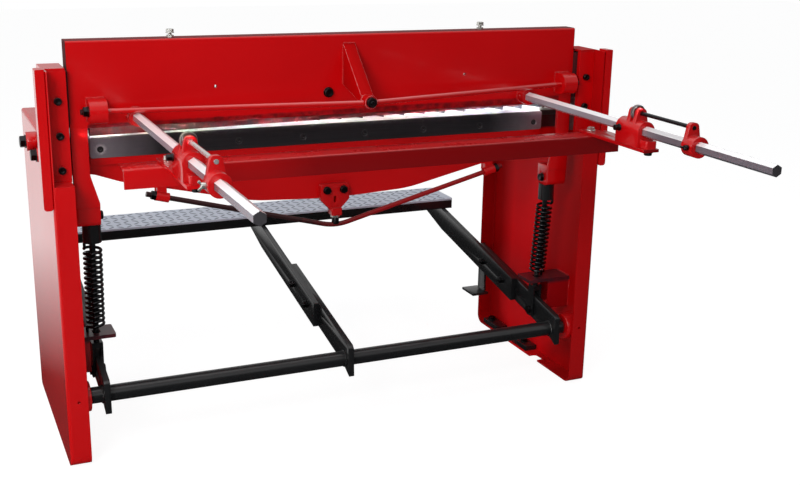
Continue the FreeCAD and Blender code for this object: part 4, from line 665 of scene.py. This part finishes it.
def hexagon(flats, height, drop_from=None):
    """A hexagonal row; with drop_from it follows a 30 degree cone down towards the corners."""
    row = []
    for k in range(SIDES):
        angle = 2.0 * math.pi * k / SIDES
        off = (angle + math.pi / 6.0) % (math.pi / 3.0) - math.pi / 6.0
        radius = flats / 2.0 / math.cos(off)
        drop = 0.0 if drop_from is None else (radius - drop_from) * math.tan(math.radians(30.0))
        row.append((radius * math.cos(angle), radius * math.sin(angle), height - drop))
    return row


# %% Washers, heads and threads
def turned(bm, profile, sides=SIDES):
    """A turned shape from (radius, height) points."""
    skin(bm, [ring(radius, height, sides) for radius, height in profile])


def washer(bm, radius, thickness, at=0.0):
    lip = thickness * 0.2
    turned(bm, [(0, at), (radius - lip, at), (radius, at + lip), (radius, at + thickness - lip),
                (radius - lip, at + thickness), (0, at + thickness)])


def hex_head(bm, flats, height, at=0.0):
    crown = flats * 0.47
    top = at + height
    skin(bm, [ring(0.0, at), hexagon(flats, at), hexagon(flats, top, crown), ring(crown, top),
              ring(crown * 0.82, top), ring(crown * 0.78, top - 0.25), ring(0.0, top - 0.25)])


def thread(bm, radius, start, length, pitch):
    """Grooves at the thread's pitch, with a chamfered end."""
    profile = [(0, start), (radius, start)]
    for k in range(int(length / pitch)):
        z = start + k * pitch
        profile += [(radius, z + pitch * 0.35), (radius - pitch * 0.55, z + pitch * 0.85)]
    profile += [(radius - pitch * 0.6, start + length), (0, start + length)]
    turned(bm, profile, 16)


# %% From rows to a mesh
def written(bm, name, finish=None):
    """The bmesh as a mesh, all in one finish."""
    mesh = bpy.data.meshes.new(name)
    bm.to_mesh(mesh)
    bm.free()
    mesh.materials.clear()
    if finish:
        mesh.materials.append(finish)
    return mesh


def template(build):
    """A hidden object that Geometry Nodes copies to its places."""
    bm = bmesh.new()
    build(bm)
    bmesh.ops.recalc_face_normals(bm, faces=bm.faces)
    return bpy.data.objects.new(build.__name__, written(bm, build.__name__))


# %% [markdown]
# ## One tree that sets a shape on many places
# A point cloud says where each fastener sits, which way it points and how it is turned. Geometry Nodes puts the
# shape on every point, makes it real and gives it its finish, so a bolt is modelled once. A small random turn
# keeps two neighbours from standing exactly alike, as on a machine bolted up by hand.

# %% Start and end of a Geometry Nodes tree
def geometry_tree(name, inputs):
    """A tree with a geometry in and out, and the named inputs."""
    g = bpy.data.node_groups.new(name, "GeometryNodeTree")
    for label, kind in {"Geometry": "Geometry", **inputs}.items():
        g.interface.new_socket(label, in_out="INPUT", socket_type="NodeSocket" + kind)
    g.interface.new_socket("Geometry", in_out="OUTPUT", socket_type="NodeSocketGeometry")
    return g, new_node(g, "NodeGroupInput").outputs


def finished(g, geometry, finish):
    """Make the geometry real, give it its finish and end the tree."""
    real = new_node(g, "GeometryNodeRealizeInstances", Geometry=geometry)
    dressed = new_node(g, "GeometryNodeSetMaterial", Geometry=real.outputs[0], Material=finish)
    new_node(g, "NodeGroupOutput", Geometry=dressed.outputs[0])
    return g


def random_value(g, low, high, seed):
    node = new_node(g, "FunctionNodeRandomValue")
    node.data_type = "FLOAT"
    feed(node.inputs[2], low)
    feed(node.inputs[3], high)
    return fill(node, Seed=seed).outputs[1]


# %% Geometry Nodes: set on points
def stamping_tree():
    g, start = geometry_tree("set_on_points", {"Shape": "Object", "Finish": "Material", "Loose turn": "Float",
                                               "Seed": "Int"})

    def mark(label, kind):
        named = new_node(g, "GeometryNodeInputNamedAttribute", Name=label)
        named.data_type = kind
        return named.outputs["Attribute"]

    loose = random_value(g, times(g, start["Loose turn"], -1.0), start["Loose turn"], start["Seed"])
    point = new_node(g, "FunctionNodeAlignRotationToVector", Vector=mark("way", "FLOAT_VECTOR"))
    point.axis = "Z"
    spin = new_node(g, "ShaderNodeCombineXYZ", Z=plus(g, mark("roll", "FLOAT"), loose))
    spun = fill_in_order(new_node(g, "FunctionNodeEulerToRotation"), spin.outputs[0])[0]
    turn = new_node(g, "FunctionNodeRotateRotation")
    turn.rotation_space = "LOCAL"
    turned_by = fill_in_order(turn, point.outputs[0], spun)[0]
    shape = new_node(g, "GeometryNodeObjectInfo", Object=start["Shape"])
    set_on = new_node(g, "GeometryNodeInstanceOnPoints", Points=start["Geometry"], Instance=shape.outputs["Geometry"],
                      Rotation=turned_by)
    return finished(g, set_on.outputs[0], start["Finish"])


SET_ON_POINTS = stamping_tree()
print("set on points:", len(SET_ON_POINTS.nodes), "nodes")


# %% Run a tree
def new_object(name, data):
    made = bpy.data.objects.new(name, data)
    bpy.context.collection.objects.link(made)
    return made


def plain_mesh(holder):
    """What an object's modifiers make of it, as a mesh of its own; the object is then removed."""
    depsgraph = bpy.context.evaluated_depsgraph_get()
    mesh = bpy.data.meshes.new_from_object(holder.evaluated_get(depsgraph), depsgraph=depsgraph)
    bpy.data.objects.remove(holder)
    return mesh


def run_tree(mesh, tree, values):
    """Run a tree on a mesh with its inputs set by identifier, and return the plain mesh."""
    holder = new_object(mesh.name, mesh)
    modifier = holder.modifiers.new("nodes", "NODES")
    modifier.node_group = tree
    for item in tree.interface.items_tree:
        if item.item_type == "SOCKET" and item.in_out == "INPUT" and item.name in values:
            modifier[item.identifier] = values[item.name]
    return plain_mesh(holder)


def set_shapes(shape, spots, finish, loose=0.0, seed=3):
    """Copies of a shape at (place in mm, way, roll in degrees) spots; the roll may be left out."""
    mesh = bpy.data.meshes.new("spots")
    mesh.from_pydata([Vector(spot[0]) * MM for spot in spots], [], [])
    ways = mesh.attributes.new("way", "FLOAT_VECTOR", "POINT")
    ways.data.foreach_set("vector", [part for spot in spots for part in spot[1]])
    rolls = mesh.attributes.new("roll", "FLOAT", "POINT")
    rolls.data.foreach_set("value", [math.radians(sum(spot[2:])) for spot in spots])
    return run_tree(mesh, SET_ON_POINTS, {"Shape": shape, "Finish": finish, "Loose turn": math.radians(loose),
                                          "Seed": seed})


# %% Join meshes into a piece
def assemble(name, body, parts, replaced=(), angle=35.0):
    """Join meshes into one piece that rides on a body, with soft shading under the given angle."""
    whole = bpy.data.meshes.new(name)
    materials = []
    bm = bmesh.new()
    for part in parts:
        start = len(bm.faces)
        bm.from_mesh(part)
        bm.faces.ensure_lookup_table()
        for face in bm.faces[start:]:
            finish = part.materials[face.material_index]
            if finish not in materials:
                materials.append(finish)
            face.material_index = materials.index(finish)
    bm.to_mesh(whole)
    bm.free()
    for finish in materials:
        whole.materials.append(finish)
    whole.shade_smooth()
    whole.set_sharp_from_angle(angle=math.radians(angle))
    piece = new_object(name, whole)
    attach(piece, body)
    if replaced:
        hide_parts(*replaced)
    print(name, len(whole.polygons), "faces")
    return piece


# %% [markdown]
# ## Hexagon bolts and nuts
# Every bolt on the machine has a chamfered head on a round washer. One builder makes the family from its key
# size, and lists of places follow, one list for each size. Nuts show the end of their thread.

# %% Bolt family
NUT_PITCH = 1.75


def bolt(flats, height, washer_radius, washer_thickness, thread_radius=0.0, stub=0.0):
    """A head on its washer; with a thread radius it is a nut, and the thread stands out of it."""
    def build(bm):
        washer(bm, washer_radius, washer_thickness)
        hex_head(bm, flats, height, washer_thickness)
        if thread_radius:
            thread(bm, thread_radius, washer_thickness, height + stub, NUT_PITCH)
    return template(build)


def both(spots):
    """The spots and their mirror images across the machine's middle."""
    return spots + [((-p[0], p[1], p[2]), (-w[0], w[1], w[2]), *rest) for p, w, *rest in spots]


UP, DOWN, REAR, RIGHT, LEFT = (0, 0, 1), (0, 0, -1), (0, 1, 0), (1, 0, 0), (-1, 0, 0)

# %% Bolts of the frame
side_bolt = bolt(28.0, 13.0, 18.0, 2.5)
pad_bolt = bolt(20.0, 8.0, 14.0, 2.0)
bracket_bolt = bolt(19.0, 8.0, 11.5, 2.0)
assemble("frame_bolt_set", "frame", [
    set_shapes(side_bolt, both([((817, 40, 824), RIGHT), ((796, 73, 793), RIGHT)]), SCREW_BLACK, 25.0),
    set_shapes(pad_bolt, both([((762, -250, 22), UP), ((762, -20, 22), UP)]), SCREW_BLACK, 25.0),
    set_shapes(bracket_bolt, both([((25, 167, 657), REAR)]), SCREW_BLACK, 20.0),
], ["frame_bolts"])


def socket_screw(bm):
    skin(bm, [ring(0, 0), ring(9.5, 0), ring(9.5, 8.2), ring(8.7, 9.0), ring(6.0, 9.0), hexagon(8.0, 8.6),
              hexagon(8.0, 4.0), ring(0, 3.0)])


gib_spots = both([((757, 258, z), REAR) for z in (788, 874, 960)])
assemble("gib_screw_set", "frame", [set_shapes(template(socket_screw), gib_spots, SCREW_BLACK, 30.0)],
         ["gib_screws"])

# %% Bolts of the treadle
arm_bolt = bolt(19.0, 8.0, 12.0, 2.0)
arm_nut = bolt(19.0, 9.0, 12.0, 2.0, 6.0, 4.0)
LAPS = [(-150, 280), (-20, 254)]
heads = [((x, y, z), LEFT) for x in (661, -8, -693) for y, z in LAPS]
nuts = [((x, y, z), RIGHT) for x in (693, 24, -661) for y, z in LAPS]
assemble("arm_bolt_set", "treadle", [set_shapes(arm_bolt, heads, SCREW_BLACK, 25.0),
                                     set_shapes(arm_nut, nuts, SCREW_BLACK, 25.0, 5)], ["arm_bolts"])

# %% Bolts of the ram
def lift_bolt(bm):
    hex_head(bm, 17.0, 6.0)
    thread(bm, 5.0, 0.0, 13.0, 1.5)
    washer(bm, 11.0, 2.0, 11.0)
    hex_head(bm, 17.0, 8.0, 13.0)


lift_spots = [((x, 202.65, 1102), UP) for x in (464, -426)]
assemble("ram_bolt_set", "ram", [
    set_shapes(template(lift_bolt), lift_spots, ZINC, 20.0),
    set_shapes(bolt(22.0, 9.0, 14.0, 2.5), [((45, 230, 947), REAR, 12)], SCREW_BLACK),
], ["ram_bolts"])
truss_nut = bolt(23.0, 10.0, 13.8, 2.5, 7.4, 6.0)
clamp_nut = bolt(24.0, 9.0, 14.0, 1.5, 6.0, 3.0)
assemble("ram_truss_nut_set", "ram", [
    set_shapes(truss_nut, [((686, 260, 931), RIGHT), ((-712, 260, 944), LEFT)], SCREW_BLACK, 20.0),
    set_shapes(clamp_nut, [((-14, 392, 941), REAR, 8)], SCREW_BLACK),
], ["ram_truss_nuts"])
pivot_bolt = bolt(20.0, 8.0, 13.0, 2.5)
assemble("pivot_bolt_set", "ram", [set_shapes(pivot_bolt, both([((665, 195, 650), LEFT)]), SCREW_BLACK, 20.0)],
         ["leg_pivot_pins"])

# %% Bolts of the back gauge
ROD_LINES = (565, -565)
gauge_bolt = bolt(17.0, 7.0, 12.0, 2.0)
clamp_bolt = bolt(14.0, 12.0, 9.0, 3.0)
gauge_nut = bolt(17.0, 7.0, 11.0, 1.0, 5.0, 3.0)
assemble("gauge_bolt_set", "gauge_front", [
    set_shapes(gauge_bolt, [((x, 590, 871), UP) for x in ROD_LINES], ZINC, 25.0),
    set_shapes(gauge_bolt, [((x, 845, 863), DOWN) for x in ROD_LINES], SCREW_BLACK, 25.0),
    set_shapes(gauge_nut, [((x, 590, 857), DOWN) for x in ROD_LINES], SCREW_BLACK, 25.0),
    set_shapes(clamp_bolt, [((590, 753, 910), RIGHT), ((-540, 753, 910), RIGHT)], SCREW_BLACK, 25.0),
], ["gauge_bolts"])


# %% [markdown]
# ## The bed truss fittings
# The truss rod pulls on two welded lugs through nuts on its threaded ends, and a jack screw with a bright lock
# nut pushes down on its middle.

# %% Bed truss fittings
TRUSS_WAY = Vector((0.9684, 0.0, 0.2495)).normalized()
SEAT_FROM_LUG = 18.0
seat = Vector((493, 168, 678)) + TRUSS_WAY * SEAT_FROM_LUG
truss_end = bolt(23.0, 10.0, 13.0, 2.5, 7.4, 13.0)


def jack_screw(bm):
    turned(bm, [(0, -27), (9.0, -27), (10.5, -25.5), (10.5, -9), (9.6, -7.5), (7.0, -7.2), (7.0, 6), (0, 6)])


def lock_nut(bm):
    hex_head(bm, 24.0, 7.0, -7.0)


BRACKET_NOSE = (0, 168, 585)
assemble("bed_truss_fitting_set", "frame", [
    set_shapes(truss_end, both([(tuple(seat), tuple(TRUSS_WAY), 10)]), SCREW_BLACK),
    set_shapes(template(jack_screw), [(BRACKET_NOSE, UP)], SCREW_BLACK),
    set_shapes(template(lock_nut), [(BRACKET_NOSE, UP, 14)], ZINC),
], ["bed_truss_fittings"])


# %% [markdown]
# ## The screws of the blade
# Eight countersunk screws hold the lower blade. Their heads are ground flush with it, so only the hexagon socket
# and a hairline round the head can be seen. One shape carries both, and the tree sets it eight times.

# %% Countersunk screws
BLADE_SCREWS = 8


def countersunk(bm):
    skin(bm, [ring(0, -26), ring(5, -26), ring(5, -4), ring(8.4, -0.9), ring(8.4, -0.25), ring(8.0, -0.05),
              ring(4.2, -0.05), hexagon(6.0, -0.4), hexagon(6.0, -3.6), ring(0, -4.4)])


first, face, line = (part / MM for part in FIRST_SCREW)
pitch = 2.0 * first / (BLADE_SCREWS - 1)
spots = [((first - k * pitch, face, line), REAR) for k in range(BLADE_SCREWS)]
assemble("blade_screw_set", "frame", [set_shapes(template(countersunk), spots, BLADE_SCREW, 30.0)],
         ["lower_blade_screws"])


# %% [markdown]
# ## Chequer plate
# The tread is rolled chequer plate: short raised bars that lie crosswise to each other so a boot grips in every
# direction. A bar is a low lozenge; the tree sets them on a grid, each one turned across its neighbours.

# %% Raised bars of the tread
TREAD_PITCH = 29.0
TREAD_TOP = 420.0
TREAD_FRONT_ROW = -639.0


def chequer_bar(bm):
    foot = [(-15.0, 0), (-10.0, -3.4), (10.0, -3.4), (15.0, 0), (10.0, 3.4), (-10.0, 3.4)]
    rows = [[(0.0, 0.0, -0.4)]]
    for shrink, z in ((1.0, -0.4), (0.96, 0.0), (0.72, 0.9)):
        rows.append([(x * shrink, y * shrink, z) for x, y in foot])
    rows.append([(0.0, 0.0, 1.0)])
    skin(bm, rows)


bars = [((column * TREAD_PITCH, TREAD_FRONT_ROW + row * TREAD_PITCH, TREAD_TOP), UP,
         45.0 if (column + row) % 2 else -45.0) for column in range(-23, 24) for row in range(6)]
assemble("tread_bars", "treadle", [set_shapes(template(chequer_bar), bars, TREAD_BAR)], angle=20.0)


# %% [markdown]
# ## Knurled wheels
# The adjusting wheels have a straight knurl on the rim and a turned recess in each face. Eighty ridges are a row
# of a hundred and sixty points whose radius goes up and down.

# %% Adjusting wheels
KNURL_POINTS = 160
WHEEL_WIDTH = 12.2
BORE = 5.05


def knurl(height):
    groove, ridge = ring(18.3, height, KNURL_POINTS), ring(19.0, height, KNURL_POINTS)
    return [(ridge if k % 2 else groove)[k] for k in range(KNURL_POINTS)]


def wheel(bm):
    profile = [(BORE, 0.0), (8.0, 0.0), (8.6, 0.9), (15.0, 0.9), (15.8, 0.1), (17.8, 0.1)]
    rows = [ring(r, z, KNURL_POINTS) for r, z in profile] + [knurl(0.9), knurl(11.3)]
    rows += [ring(r, WHEEL_WIDTH - z, KNURL_POINTS) for r, z in reversed(profile)]
    skin(bm, rows + [ring(BORE, 0.0, KNURL_POINTS)])
    bmesh.ops.remove_doubles(bm, verts=bm.verts, dist=1e-7)


wheel_shape = template(wheel)
for x, side in zip(ROD_LINES, ("right", "left")):
    assemble("knurled_wheel_" + side, "wheel_" + side, [set_shapes(wheel_shape, [((x, 784.4, 952), REAR)], WHEEL)],
             ["adjusting_wheel_" + side], 30.0)


# %% [markdown]
# ## Softened castings
# A cast or flame-cut part has no knife edge. Each of these nodes is copied, its loose triangles are merged and
# its flat faces dissolved, and a narrow bevel rounds what is left. The bevel works on the true shape, so the
# outline against the white ground is soft too, which a shader alone can't do. Edges where a leg meets the ram are
# left sharp, because a groove would show there.

# %% Bevel copies of the nodes
SHARP = math.radians(38.0)
NO_LIMIT = 9.0


def merged_copy(name, distance):
    bm = bmesh.new()
    bm.from_mesh(nodes[name].data)
    bmesh.ops.remove_doubles(bm, verts=bm.verts, dist=distance)
    return bm


def softened(name, body, width, flush_above=NO_LIMIT):
    """A copy of a node with its sharp edges bevelled, but not where it meets another part above a height."""
    bm = merged_copy(name, 2e-6)
    bmesh.ops.dissolve_limit(bm, angle_limit=math.radians(1.0), verts=bm.verts, edges=bm.edges)
    weight = bm.edges.layers.float.new("bevel_weight_edge")
    for edge in bm.edges:
        joined = all(corner.co.z > flush_above for corner in edge.verts)
        edge[weight] = 1.0 if edge.calc_face_angle(0.0) > SHARP and not joined else 0.0
    mesh = written(bm, name + "_soft", finish_of.get(name, RED))
    holder = new_object(name + "_soft", mesh)
    bevel = holder.modifiers.new("soft", "BEVEL")
    bevel.width = width * MM
    bevel.segments = 2
    bevel.limit_method = "WEIGHT"
    assemble(name + "_piece", body, [plain_mesh(holder)], [name], 40.0)


# %% Which nodes are softened
LEG_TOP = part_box("ram_leg_right")[1][2] - 0.0005
SOFT = [("gauge_front", 1.8, pair("front_carriage")), ("gauge_rear", 1.8, pair("rear_clamp")),
        ("frame", 2.5, ["treadle_bearings"]), ("frame", 1.8, ["bed_truss_bracket"]),
        ("frame", 1.5, ["side_bosses"]), ("ram", 1.2, ["gauge_rod_bosses"]),
        ("wing_left", 0.8, ["wing_screw_left"]), ("wing_right", 0.8, ["wing_screw_right"]),
        ("treadle", 1.0, ["stop_foot"]), ("ram", 1.6, pair("ram_leg"), LEG_TOP), ("ram", 1.0, ["ram_gusset"]),
        ("gauge_front", 0.8, ["gauge_bar"]), ("treadle", 1.2, ["rear_arms", "front_arms"]),
        ("frame", 1.6, ["anchor_pads"])]
for body, width, names, *flush_above in SOFT:
    for name in names:
        softened(name, body, width, *flush_above)


# %% [markdown]
# ## Springs as pieces of their own
# The two main springs stand on their shelves and the ram's cups press on them, and the hold-down's small springs
# stand under its bar. Each spring is copied as a piece of its own, with a mesh of its own.


def giving_spring(name):
    mesh = written(merged_copy(name, 1e-6), name + "_coil", finish_of[name])
    piece = assemble(name + "_piece", "frame", [mesh], [name], 50.0)
    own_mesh(piece)


for name in pair("main_spring"):
    giving_spring(name)
giving_spring("hold_down_springs")


# %% [markdown]
# ## Weld beads
# The frame is welded up from plate, and the beads show through the paint. A bead is a thin tube along the seam
# whose radius rises and falls with each ripple of the torch. The tree resamples the seam, sets the radius from
# the distance along it and sweeps a circle.

# %% Geometry Nodes: weld bead
BEAD_RADIUS = 2.2
BEAD_RIPPLE = 3.0


def bead_tree():
    g, start = geometry_tree("weld_bead", {"Radius": "Float", "Ripple": "Float", "Seed": "Int",
                                           "Finish": "Material"})
    seam = new_node(g, "GeometryNodeMeshToCurve", Mesh=start["Geometry"])
    fine = new_node(g, "GeometryNodeResampleCurve")
    fine.mode = "LENGTH"
    fill(fine, Curve=seam.outputs[0], Length=times(g, start["Ripple"], 0.33))
    along = new_node(g, "GeometryNodeSplineParameter").outputs["Length"]
    phase = times(g, math_node(g, "DIVIDE", along, start["Ripple"]), 2.0 * math.pi)
    chance = random_value(g, -0.1, 0.1, start["Seed"])
    swell = plus(g, times(g, math_node(g, "SINE", phase), 0.16), chance)
    circle = new_node(g, "GeometryNodeCurvePrimitiveCircle", Resolution=7, Radius=1.0)
    sweep = new_node(g, "GeometryNodeCurveToMesh", Curve=fine.outputs[0], Profile_Curve=circle.outputs[0],
                     Scale=times(g, plus(g, swell, 1.0), start["Radius"]), Fill_Caps=True)
    return finished(g, sweep.outputs[0], start["Finish"])


WELD_BEAD = bead_tree()
print("weld bead:", len(WELD_BEAD.nodes), "nodes")


# %% Seams
def beads(seams, finish):
    """A bead along each seam, given as runs of points in millimetres."""
    points, edges = [], []
    for seam in seams:
        first = len(points)
        points += [Vector(p) * MM for p in seam]
        edges += [(first + k, first + k + 1) for k in range(len(seam) - 1)]
    mesh = bpy.data.meshes.new("seams")
    mesh.from_pydata(points, edges, [])
    return run_tree(mesh, WELD_BEAD, {"Radius": BEAD_RADIUS * MM, "Ripple": BEAD_RIPPLE * MM, "Seed": 4,
                                      "Finish": finish})


def round_seam(x, y, z, radius, about_x=False):
    """A seam round an axis that points along Y, or along X."""
    run = [(radius * math.cos(k * math.pi / 12), radius * math.sin(k * math.pi / 12)) for k in range(25)]
    return [(x, y + u, z + v) if about_x else (x + u, y, z + v) for u, v in run]


# %% Beads of the ram
RAM_BACK = 231
ram_seams = []
for x, z in ((664, 931), (-690, 944)):
    ram_seams += [[(x + side, RAM_BACK, z - 29), (x + side, RAM_BACK, z + 29)] for side in (-22, 22)]
    ram_seams.append([(x - 22, RAM_BACK, z + 30), (x + 22, RAM_BACK, z + 30)])
ram_seams += [[(x, RAM_BACK, 968), (x, RAM_BACK, 1076)] for x in (-31.5, 3.5)]
ram_seams.append([(-31, RAM_BACK, 1077.5), (3, RAM_BACK, 1077.5)])
ram_seams += [round_seam(x, RAM_BACK, 910, 23.0) for x in ROD_LINES]
assemble("ram_beads", "ram", [beads(ram_seams, CAST_RED)])

# %% Beads of the frame
BED_BACK = 147.8
frame_seams = []
for side in (1, -1):
    frame_seams += [[(side * 783, 121, 320.8), (side * 783, 199, 320.8)],
                    [(side * 783, 200.5, 222), (side * 783, 200.5, 309)],
                    [(side * 790.8, 271.5, 704), (side * 790.8, 271.5, 1036)]]
    lug = side * 493
    frame_seams += [[(lug + reach, BED_BACK, 680), (lug + reach, BED_BACK, 724)] for reach in (-13.4, 13.4)]
    frame_seams += [[(lug - 13, BED_BACK, 726.6), (lug + 13, BED_BACK, 726.6)],
                    [(side * 771, 147.6, 750), (side * 771, 147.6, 830)]]
assemble("frame_beads", "frame", [beads(frame_seams, CAST_RED)])

# %% Beads of the treadle
treadle_seams = [round_seam(x + side, 260, 178, 22.6, about_x=True) for x in (685, 0, -685) for side in (-8.6, 8.6)]
treadle_seams.append([(-681.4, -202, 243), (-681.4, -160, 236)])
assemble("treadle_beads", "treadle", [beads(treadle_seams, BLACK)])


# %% [markdown]
# ## The camera
# The photograph was taken from behind the machine, from head height, a little to the operator's right. These
# numbers came from fitting the camera to the machine's straight edges.

# %% Camera
PHOTO_WIDTH_PX = 800
FOCAL_PX = 1122.1
SENSOR_MM = 36.0
CAMERA_PLACE = Vector((1.1064, 3.075, 1.4144))
AZIMUTH, ELEVATION, ROLL = (math.radians(angle) for angle in (155.72, 16.33, 1.15))


def camera_turn():
    back = Vector((math.sin(AZIMUTH) * math.cos(ELEVATION), -math.cos(AZIMUTH) * math.cos(ELEVATION),
                   math.sin(ELEVATION)))
    right = Vector((0, 0, 1)).cross(back).normalized()
    up = back.cross(right)
    turned_right = right * math.cos(ROLL) + up * math.sin(ROLL)
    turned_up = up * math.cos(ROLL) - right * math.sin(ROLL)
    return Matrix((turned_right, turned_up, back)).transposed()


camera_data = bpy.data.cameras.new("photo_camera")
camera_data.sensor_width = SENSOR_MM
camera_data.lens = FOCAL_PX / PHOTO_WIDTH_PX * SENSOR_MM
camera_data.clip_end = 60.0
camera = new_object("photo_camera", camera_data)
camera.matrix_world = Matrix.Translation(CAMERA_PLACE) @ camera_turn().to_4x4()
bpy.context.scene.camera = camera
print("lens", round(camera_data.lens, 2), "mm")


# %% [markdown]
# ## Light and ground
# The picture is a cut-out on white, yet the red in it is deep, so the shop round the camera was dark and only the
# far wall was bright. The world therefore has three strengths: white for the eye, a plain level as a light, and
# in reflections a sky that is white overhead and on the far side, and dark near the horizon behind the camera.

# %% Strengths for each kind of ray
WHITE = (1.0, 1.0, 1.0)


def blend(g, factor, first, second):
    """One shader laid over another by a factor."""
    return fill_in_order(new_node(g, "ShaderNodeMixShader"), factor, first, second)[0]


def glow(g, kind, strength, colour=WHITE):
    return new_node(g, "ShaderNode" + kind, Color=colour, Strength=strength).outputs[0]


# %% World
world = bpy.data.worlds.new("white_studio")
bpy.context.scene.world = world
world.use_nodes = True
world.node_tree.nodes.clear()
g = world.node_tree
way = axes(g, new_node(g, "ShaderNodeTexCoord").outputs["Generated"])
height = minus(g, way["Z"], times(g, way["Y"], 0.22))
mirrored = glow(g, "Background", remap(g, height, 0.05, 0.6, -0.05, 0.18))
lit = glow(g, "Background", 0.22, (0.95, 0.97, 1.0))
seen = glow(g, "Background", 1.0)
rays = new_node(g, "ShaderNodeLightPath").outputs
light = blend(g, rays["Is Glossy Ray"], lit, mirrored)
to_the_eye = math_node(g, "ADD", rays["Is Camera Ray"], rays["Is Transmission Ray"], clamp=True)
new_node(g, "ShaderNodeOutputWorld", Surface=blend(g, to_the_eye, light, seen))
print("world", len(world.node_tree.nodes), "nodes")


# %% [markdown]
# ## The floor
# The floor is pale to the eye and keeps a faint shadow. In reflections it is dark round the machine and white
# far behind it, which is why the lower plates stay deep red and the side plate turns pale towards its top.

# %% Floor
def studio_floor():
    material, g, shader = new_material("studio_floor")
    fill(shader, Base_Color=(0.8, 0.8, 0.81), Roughness=0.6, Specular_IOR_Level=0.2)
    seen = glow(g, "Emission", 1.22)
    away = minus(g, times(g, at(g, "X"), 1.5), at(g, "Y"))
    mirrored = glow(g, "Emission", remap(g, away, 0.03, 1.0, 1.6, 3.4))
    rays = new_node(g, "ShaderNodeLightPath").outputs
    light = blend(g, rays["Is Glossy Ray"], shader.outputs[0], mirrored)
    surface = blend(g, times(g, rays["Is Camera Ray"], 0.76), light, seen)
    fill(g.nodes["Material Output"], Surface=surface)
    return material


REACH = 14.0
FLOOR = -0.0005
mesh = bpy.data.meshes.new("floor")
corners = [(-REACH, -REACH, FLOOR), (REACH, -REACH, FLOOR), (REACH, REACH, FLOOR), (-REACH, REACH, FLOOR)]
mesh.from_pydata(corners, [], [(0, 1, 2, 3)])
mesh.materials.append(studio_floor())
floor = new_object("floor", mesh)
print("floor at", FLOOR)


# %% [markdown]
# ## Lamps
# A large soft lamp above lights everything, and three smaller ones shape it from the side and from behind. The
# last lamp is a narrow strip that shines into the gap between the blades, where the bright line of feet is seen.

# %% Lamps
MIDDLE = (0.2, 0.2, 0.6)
GAP = (0.0, 0.14, 0.8545)


def soft_lamp(name, place, target, width, height, watts, colour=WHITE, spread=180.0):
    data = bpy.data.lights.new(name, "AREA")
    data.shape = "RECTANGLE"
    data.size, data.size_y = width, height
    data.energy = watts
    data.color = colour
    data.spread = math.radians(spread)
    lamp = new_object(name, data)
    lamp.location = place
    lamp.rotation_euler = (Vector(target) - Vector(place)).to_track_quat("-Z", "Y").to_euler()
    print(name, watts, "W")


soft_lamp("key_lamp", (2.2, 2.4, 2.5), MIDDLE, 1.0, 1.0, 48.0, (1.0, 0.98, 0.96))
soft_lamp("top_lamp", (0.3, 0.0, 3.6), MIDDLE, 5.0, 3.6, 50.0)
soft_lamp("side_lamp", (3.2, -0.4, 1.5), MIDDLE, 1.8, 1.8, 22.0)
soft_lamp("low_lamp", (1.8, 3.2, 1.45), MIDDLE, 1.2, 0.8, 20.0)
soft_lamp("gap_lamp", (0.0, 2.7, 1.259), GAP, 1.4, 0.015, 0.34, spread=0.5)


# %% [markdown]
# ## Finish
# Standard keeps the white ground white.

# %% Finish
bpy.context.scene.view_settings.view_transform = "Standard"
